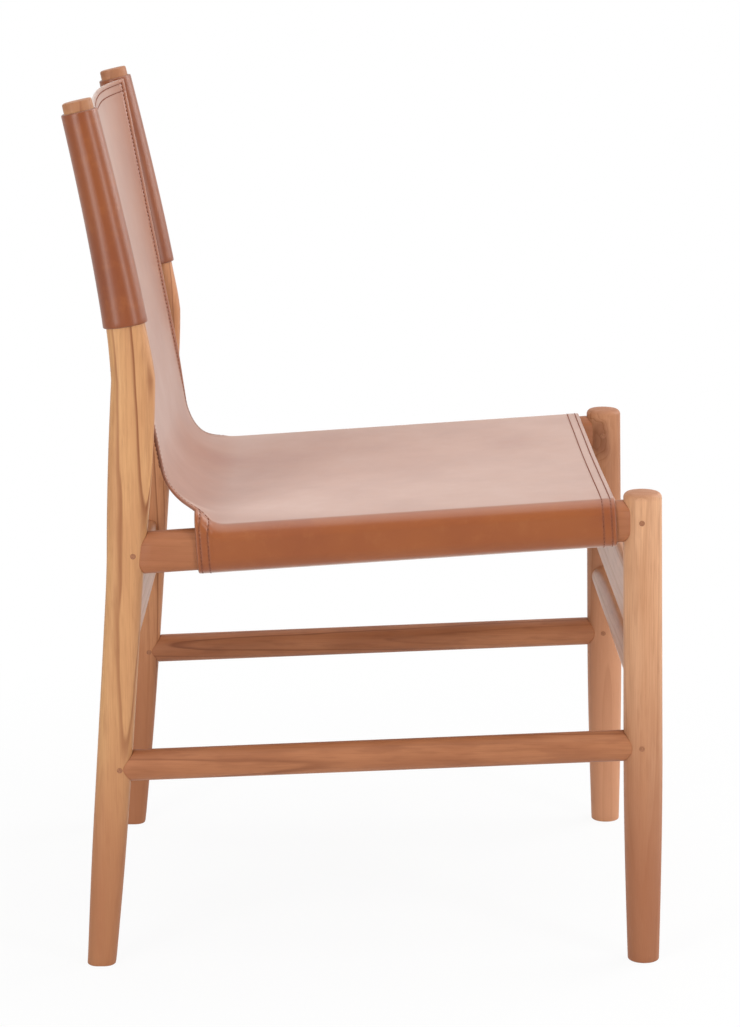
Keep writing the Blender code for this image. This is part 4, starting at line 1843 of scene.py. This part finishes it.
@dataclass
class Sleeve:
    """A leather sleeve drawn over a back post, which holds the panel's edge."""

    post: BackPost
    thickness: float = LEATHER_THICKNESS
    gap: float = LEATHER_GAP
    length: float = SLEEVE_LENGTH
    top: float = SLEEVE_TOP
    softness: float = SLEEVE_SOFTNESS
    corner_facets: int = 10
    pitch: float = 0.004
    rim: float = 0.0011
    rim_step: float = math.radians(30)
    seam_turn: float = math.radians(35)
    seam_inset: float = 0.004

    def section(self, z: float, lift: float) -> list[Vector]:
        """The sleeve's section at a height, with a lift above its inner face."""
        return self.post.ring(z, self.gap + lift, self.softness, self.corner_facets)

    def build(self, finish: bpy.types.Material) -> bpy.types.Object:
        """Sews the sleeve.

        Args:
            finish: its leather.

        Returns:
            The finished piece.
        """
        low, high, half = self.top - self.length + self.rim, self.top - self.rim, self.thickness / 2
        turns = spread(0, math.pi, self.rim_step)[1:-1]
        sections = []
        for start, end, way, lift, suede in ((low, high, 1, self.thickness, 0.0), (high, low, -1, 0.0, 1.0)):
            sections += [(z, lift, 0.0, suede) for z in spread(start, end, self.pitch)]
            sections += [(end + way * self.rim * math.sin(turn), half + way * half * math.cos(turn), 1.0, 0.0)
                         for turn in turns]
        rings = [self.section(z, lift) for z, lift, _, _ in sections]
        bm = skin(rings, looped=True)
        edge = bm.verts.layers.float.new("edge")
        flesh = bm.verts.layers.float.new("flesh")
        for index, vert in enumerate(bm.verts):
            _, _, vert[edge], vert[flesh] = sections[index // len(rings[0])]
        sleeve = new_piece(f"sleeve_leather_{self.post.side.label}", bm, finish)
        return settle(sleeve, Slot.LEATHER, f"back_sleeve_{self.post.side.label}")

    def seam_line(self) -> list[tuple[Vector, Vector]]:
        """The sleeve's closing seam, on its inner side towards the back.

        Returns:
            Points up the sleeve, each with the way out of the leather.
        """
        aim = Vector((-self.post.side * math.cos(self.seam_turn), math.sin(self.seam_turn), 0.0))
        outline = self.post.ring(self.top)
        middle = sum(outline, Vector()) / len(outline)
        reaches = [(p - middle).xy.normalized().dot(aim.xy) for p in self.section(self.top, self.thickness)]
        index = reaches.index(max(reaches))
        heights = spread(self.top - self.length + self.seam_inset, self.top - self.seam_inset, self.pitch)
        return [(self.section(z, self.thickness)[index], aim) for z in heights]


class RepeatTool(Tree):
    """A Geometry Nodes tree that sets a small ball, drawn out to a size, at even steps along lines."""

    def __init__(self, name: str, size: Triple, segments: int, rings: int) -> None:
        """Builds the tree.

        Args:
            name: the tree's name.
            size: length, width and height of the shape.
            segments: its facets round.
            rings: its facets from pole to pole.
        """
        super().__init__(bpy.data.node_groups.new(name, "GeometryNodeTree"))
        self.shape_size = size
        face = self.tree.interface
        face.new_socket("Geometry", in_out="INPUT", socket_type="NodeSocketGeometry")
        self.pitch = face.new_socket("Pitch", in_out="INPUT", socket_type="NodeSocketFloat").identifier
        self.size = face.new_socket("Size", in_out="INPUT", socket_type="NodeSocketVector").identifier
        self.finish = face.new_socket("Finish", in_out="INPUT", socket_type="NodeSocketMaterial").identifier
        face.new_socket("Geometry", in_out="OUTPUT", socket_type="NodeSocketGeometry")
        given = self.node("NodeGroupInput", {}, {}).outputs
        curve = self.node("GeometryNodeMeshToCurve", {}, {"Mesh": given["Geometry"]})
        dots = self.node("GeometryNodeResampleCurve", {"mode": "LENGTH"},
                         {"Curve": curve.outputs["Curve"], "Length": given["Pitch"]})
        tangent = self.node("GeometryNodeInputTangent", {}, {})
        out = self.node("GeometryNodeInputNamedAttribute", {"data_type": "FLOAT_VECTOR"}, {"Name": "out"})
        ahead = self.node("FunctionNodeAlignRotationToVector", {"axis": "X"},
                          {"Vector": tangent.outputs["Tangent"]})
        upright = self.node("FunctionNodeAlignRotationToVector", {"axis": "Z", "pivot_axis": "X"},
                            {"Rotation": ahead.outputs["Rotation"], "Vector": out.outputs["Attribute"]})
        ball = self.node("GeometryNodeMeshUVSphere", {},
                         {"Segments": segments, "Rings": rings, "Radius": 0.5})
        drawn = self.node("GeometryNodeTransform", {},
                          {"Geometry": ball.outputs["Mesh"], "Scale": given["Size"]})
        smooth = self.node("GeometryNodeSetShadeSmooth", {}, {"Geometry": drawn.outputs["Geometry"]})
        placed = self.node("GeometryNodeInstanceOnPoints", {},
                           {"Points": dots.outputs["Curve"], "Instance": smooth.outputs["Geometry"],
                            "Rotation": upright.outputs["Rotation"]})
        real = self.node("GeometryNodeRealizeInstances", {}, {"Geometry": placed.outputs["Instances"]})
        dressed = self.node("GeometryNodeSetMaterial", {}, {"Geometry": real.outputs["Geometry"],
                                                            "Material": given["Finish"]})
        self.node("NodeGroupOutput", {}, {"Geometry": dressed.outputs["Geometry"]})

    def run(self, name: str, lines: Sequence[Sequence[tuple[Vector, Vector]]], pitch: float,
            material: bpy.types.Material) -> bpy.types.Object:
        """Sets the shapes along lines and gives them back as a plain mesh.

        Args:
            name: the piece's name.
            lines: lines of points, each with the way out of the surface.
            pitch: the step between shapes.
            material: their finish.

        Returns:
            The new piece.
        """
        mesh = bpy.data.meshes.new(name)
        points = [point for line in lines for point, _ in line]
        edges = []
        first = 0
        for line in lines:
            edges += [(first + index, first + index + 1) for index in range(len(line) - 1)]
            first += len(line)
        mesh.from_pydata(points, edges, [])
        ways = mesh.attributes.new("out", "FLOAT_VECTOR", "POINT")
        ways.data.foreach_set("vector", [part for line in lines for _, way in line for part in way])
        piece = place_object(name, mesh)
        modifier = piece.modifiers.new("repeat", "NODES")
        modifier.node_group = self.tree
        modifier[self.pitch] = pitch
        modifier[self.size] = self.shape_size
        modifier[self.finish] = material
        return make_plain(piece)


@dataclass
class Fixings:
    """Thread along the hems and tacks under the rails."""

    sling: Sling
    sleeves: list[Sleeve]
    thread: bpy.types.Material
    metal: bpy.types.Material
    stitch: Triple = (0.0030, 0.0011, 0.0012)
    stitch_facets: tuple[int, int] = (8, 5)
    stitch_pitch: float = 0.0040
    stitch_lift: float = 0.00012
    tack: Triple = (0.0050, 0.0050, 0.0009)
    tack_facets: tuple[int, int] = (12, 6)
    tack_pitch: float = 0.032
    tack_inset: float = 0.0045
    tack_margin: float = 0.014
    tack_line_pitch: float = 0.01

    def build(self) -> None:
        """Sets every stitch and tack."""
        sling = self.sling
        lines = []
        for line in sling.seam_lines():
            lines.append([sling.outer(along, across, self.stitch_lift) for along, across in line])
            behind = [place for place in line if place[0] > sling.bend_end]
            if len(behind) > 1:
                lines.append([sling.back(along, across, self.stitch_lift) for along, across in behind])
        sewing = RepeatTool("stitches", self.stitch, *self.stitch_facets)
        settle(sewing.run("sling_stitches", lines, self.stitch_pitch, self.thread), Slot.THREAD)
        seams = [sleeve.seam_line() for sleeve in self.sleeves]
        settle(sewing.run("sleeve_stitches", seams, self.stitch_pitch, self.thread), Slot.THREAD)
        across = sling.full - self.tack_inset
        places = spread(self.tack_margin, sling.wrap_end - self.tack_margin, self.tack_line_pitch)
        rows = [[sling.outer(along, side * across, 0.0) for along in places] for side in Side]
        tacking = RepeatTool("tacks", self.tack, *self.tack_facets)
        settle(tacking.run("rail_tacks", rows, self.tack_pitch, self.metal), Slot.TACK)


@dataclass
class Studio:
    """Floor, white surround, soft lamps and the photograph's camera."""

    photo_height: int = 1027
    focal_pixels: float = 3116.7
    sensor_width: float = 36.0
    eye: Triple = (-3.0049, 0.0187, 1.0119)
    yaw: float = math.radians(-0.399)
    pitch: float = math.radians(11.812)
    roll: float = math.radians(-0.271)
    surround: float = 0.195
    softboxes: tuple[tuple[str, float, float, float], ...] = (
        ("fore", math.radians(-44), 0.42, 8.6), ("rear", math.radians(33), 0.76, 5.9))
    softbox_height: float = 2.2
    softbox_distance: float = 2.4
    overhead_place: Triple = (0.0, -0.1, 3.0)
    overhead_power: float = 61.5
    overhead_size: float = 3.2
    front_place: Triple = (1.1, -2.7, 1.9)
    front_aim: Triple = (0.0, 0.0, 0.5)
    front_power: float = 68.0
    front_size: float = 2.2
    floor_colour: Colour = (0.78, 0.78, 0.78, 1.0)
    floor_roughness: float = 0.9
    floor_reach: float = 14.0
    shadow_reach: Pair = (0.35, 1.0)
    shadow_share: float = 0.08

    def camera(self) -> None:
        """Stands the camera where the photograph was taken."""
        level_part = math.cos(self.pitch)
        forward = Vector((level_part * math.cos(self.yaw), level_part * math.sin(self.yaw),
                          -math.sin(self.pitch)))
        right = forward.cross(Vector((0, 0, 1))).normalized()
        up = right.cross(forward)
        level = right * math.cos(self.roll) + up * math.sin(self.roll)
        head = up * math.cos(self.roll) - right * math.sin(self.roll)
        data = bpy.data.cameras.new("photo_camera")
        data.sensor_width = self.sensor_width
        data.lens = self.focal_pixels * self.sensor_width / self.photo_height
        camera = place_object("photo_camera", data)
        turn = Matrix((level, head, -forward)).transposed().to_4x4()
        camera.matrix_world = Matrix.Translation(self.eye) @ turn
        bpy.context.scene.camera = camera

    def light(self) -> None:
        """Hangs a tall softbox on either side of the camera, and large ones overhead and in front."""
        for label, turn, width, radiance in self.softboxes:
            away = Vector((-math.cos(turn), math.sin(turn), 0.0))
            place = away * self.softbox_distance + Vector((0, 0, self.softbox_height / 2))
            power = radiance * math.pi * width * self.softbox_height
            self.lamp(f"softbox_{label}", place, -away, (width, self.softbox_height), power)
        self.lamp("softbox_overhead", Vector(self.overhead_place), Vector((0, 0, -1)),
                  (self.overhead_size, self.overhead_size), self.overhead_power)
        place = Vector(self.front_place)
        self.lamp("softbox_front", place, Vector(self.front_aim) - place, (self.front_size, self.front_size),
                  self.front_power)

    @staticmethod
    def lamp(name: str, place: Vector, aim: Vector, size: Pair, power: float) -> None:
        """Hangs one softbox.

        Args:
            name: its name.
            place: its centre.
            aim: the way that it shines.
            size: its width and height.
            power: its power in watts.
        """
        data = bpy.data.lights.new(name, "AREA")
        data.shape = "RECTANGLE"
        data.size, data.size_y = size
        data.energy = power
        turn = aim.to_track_quat("-Z", "Y").to_matrix().to_4x4()
        place_object(name, data).matrix_world = Matrix.Translation(place) @ turn

    def world(self) -> None:
        """Surrounds the chair with white for the eye and for gloss, and with a plain level for light."""
        world = bpy.data.worlds.new("studio")
        world.use_nodes = True
        bpy.context.scene.world = world
        tree = Tree(world.node_tree)
        tree.tree.nodes.clear()
        seen = tree.node("ShaderNodeBackground", {}, {"Color": WHITE})
        level = tree.node("ShaderNodeBackground", {}, {"Color": WHITE, "Strength": self.surround})
        choice = tree.node("ShaderNodeMixShader", {},
                           {0: tree.white_rays(), 1: level.outputs[0], 2: seen.outputs[0]})
        tree.node("ShaderNodeOutputWorld", {}, {"Surface": choice.outputs[0]})

    def floor(self) -> None:
        """Lays a wide white floor that keeps a soft shadow."""
        graph = Graph("white_floor")
        graph.set(base_color=self.floor_colour, roughness=self.floor_roughness)
        glow = graph.node("ShaderNodeEmission", {}, {"Color": WHITE, "Strength": 1.0})
        near = 1.0 - graph.length(graph.place()).eased(*self.shadow_reach)
        white = graph.white_rays() * (1.0 - near * self.shadow_share)
        choice = graph.node("ShaderNodeMixShader", {},
                            {0: white, 1: graph.shader.outputs[0], 2: glow.outputs[0]})
        graph.feed(graph.tree.nodes["Material Output"].inputs["Surface"], choice.outputs[0])
        bm = bmesh.new()
        corners = ((-1, -1), (1, -1), (1, 1), (-1, 1))
        bm.faces.new([bm.verts.new((x * self.floor_reach, y * self.floor_reach, 0.0)) for x, y in corners])
        floor = new_piece("studio_floor", bm, graph.material)

    def build(self) -> None:
        """Sets the whole studio."""
        self.camera()
        self.light()
        self.world()
        self.floor()
        bpy.context.scene.view_settings.view_transform = "Standard"


def main() -> None:
    """Builds the studio, the wood, the leather and its fixings, in that order."""
    logging.basicConfig(level=logging.INFO, format="%(name)s: %(message)s")
    Studio().build()
    wood = WoodFrame()
    wood.build(Woods.pick(wood.side_x))
    sling = Sling(wood)
    sling.build(LeatherFinish("sling_hide").material())
    # The sleeves take a copy of the sling's leather with less sheen and patchiness; its darker tan is painted
    # shade for the lower light on the sleeves.
    leather = LeatherFinish("sleeve_hide", tan=(0.226, 0.052, 0.006, 1.0), dark=(0.190, 0.038, 0.004, 1.0),
                            haze=0.12, patchy=0.25).material()
    sleeves = [Sleeve(wood.posts[side]) for side in Side]
    for sleeve in sleeves:
        sleeve.build(leather)
    thread = PlainFinish("waxed_thread", tone(136, 76, 48), tone(108, 56, 34), roughness=0.9).material()
    metal = PlainFinish("aged_brass", (0.36, 0.26, 0.14, 1.0), (0.25, 0.17, 0.09, 1.0), roughness=0.38,
                        metallic=1.0, fleck=Pattern(300.0, 2.0, 0.6, rise=(0.3, 0.7))).material()
    Fixings(sling, sleeves, thread, metal).build()


if __name__ == "__main__":
    main()
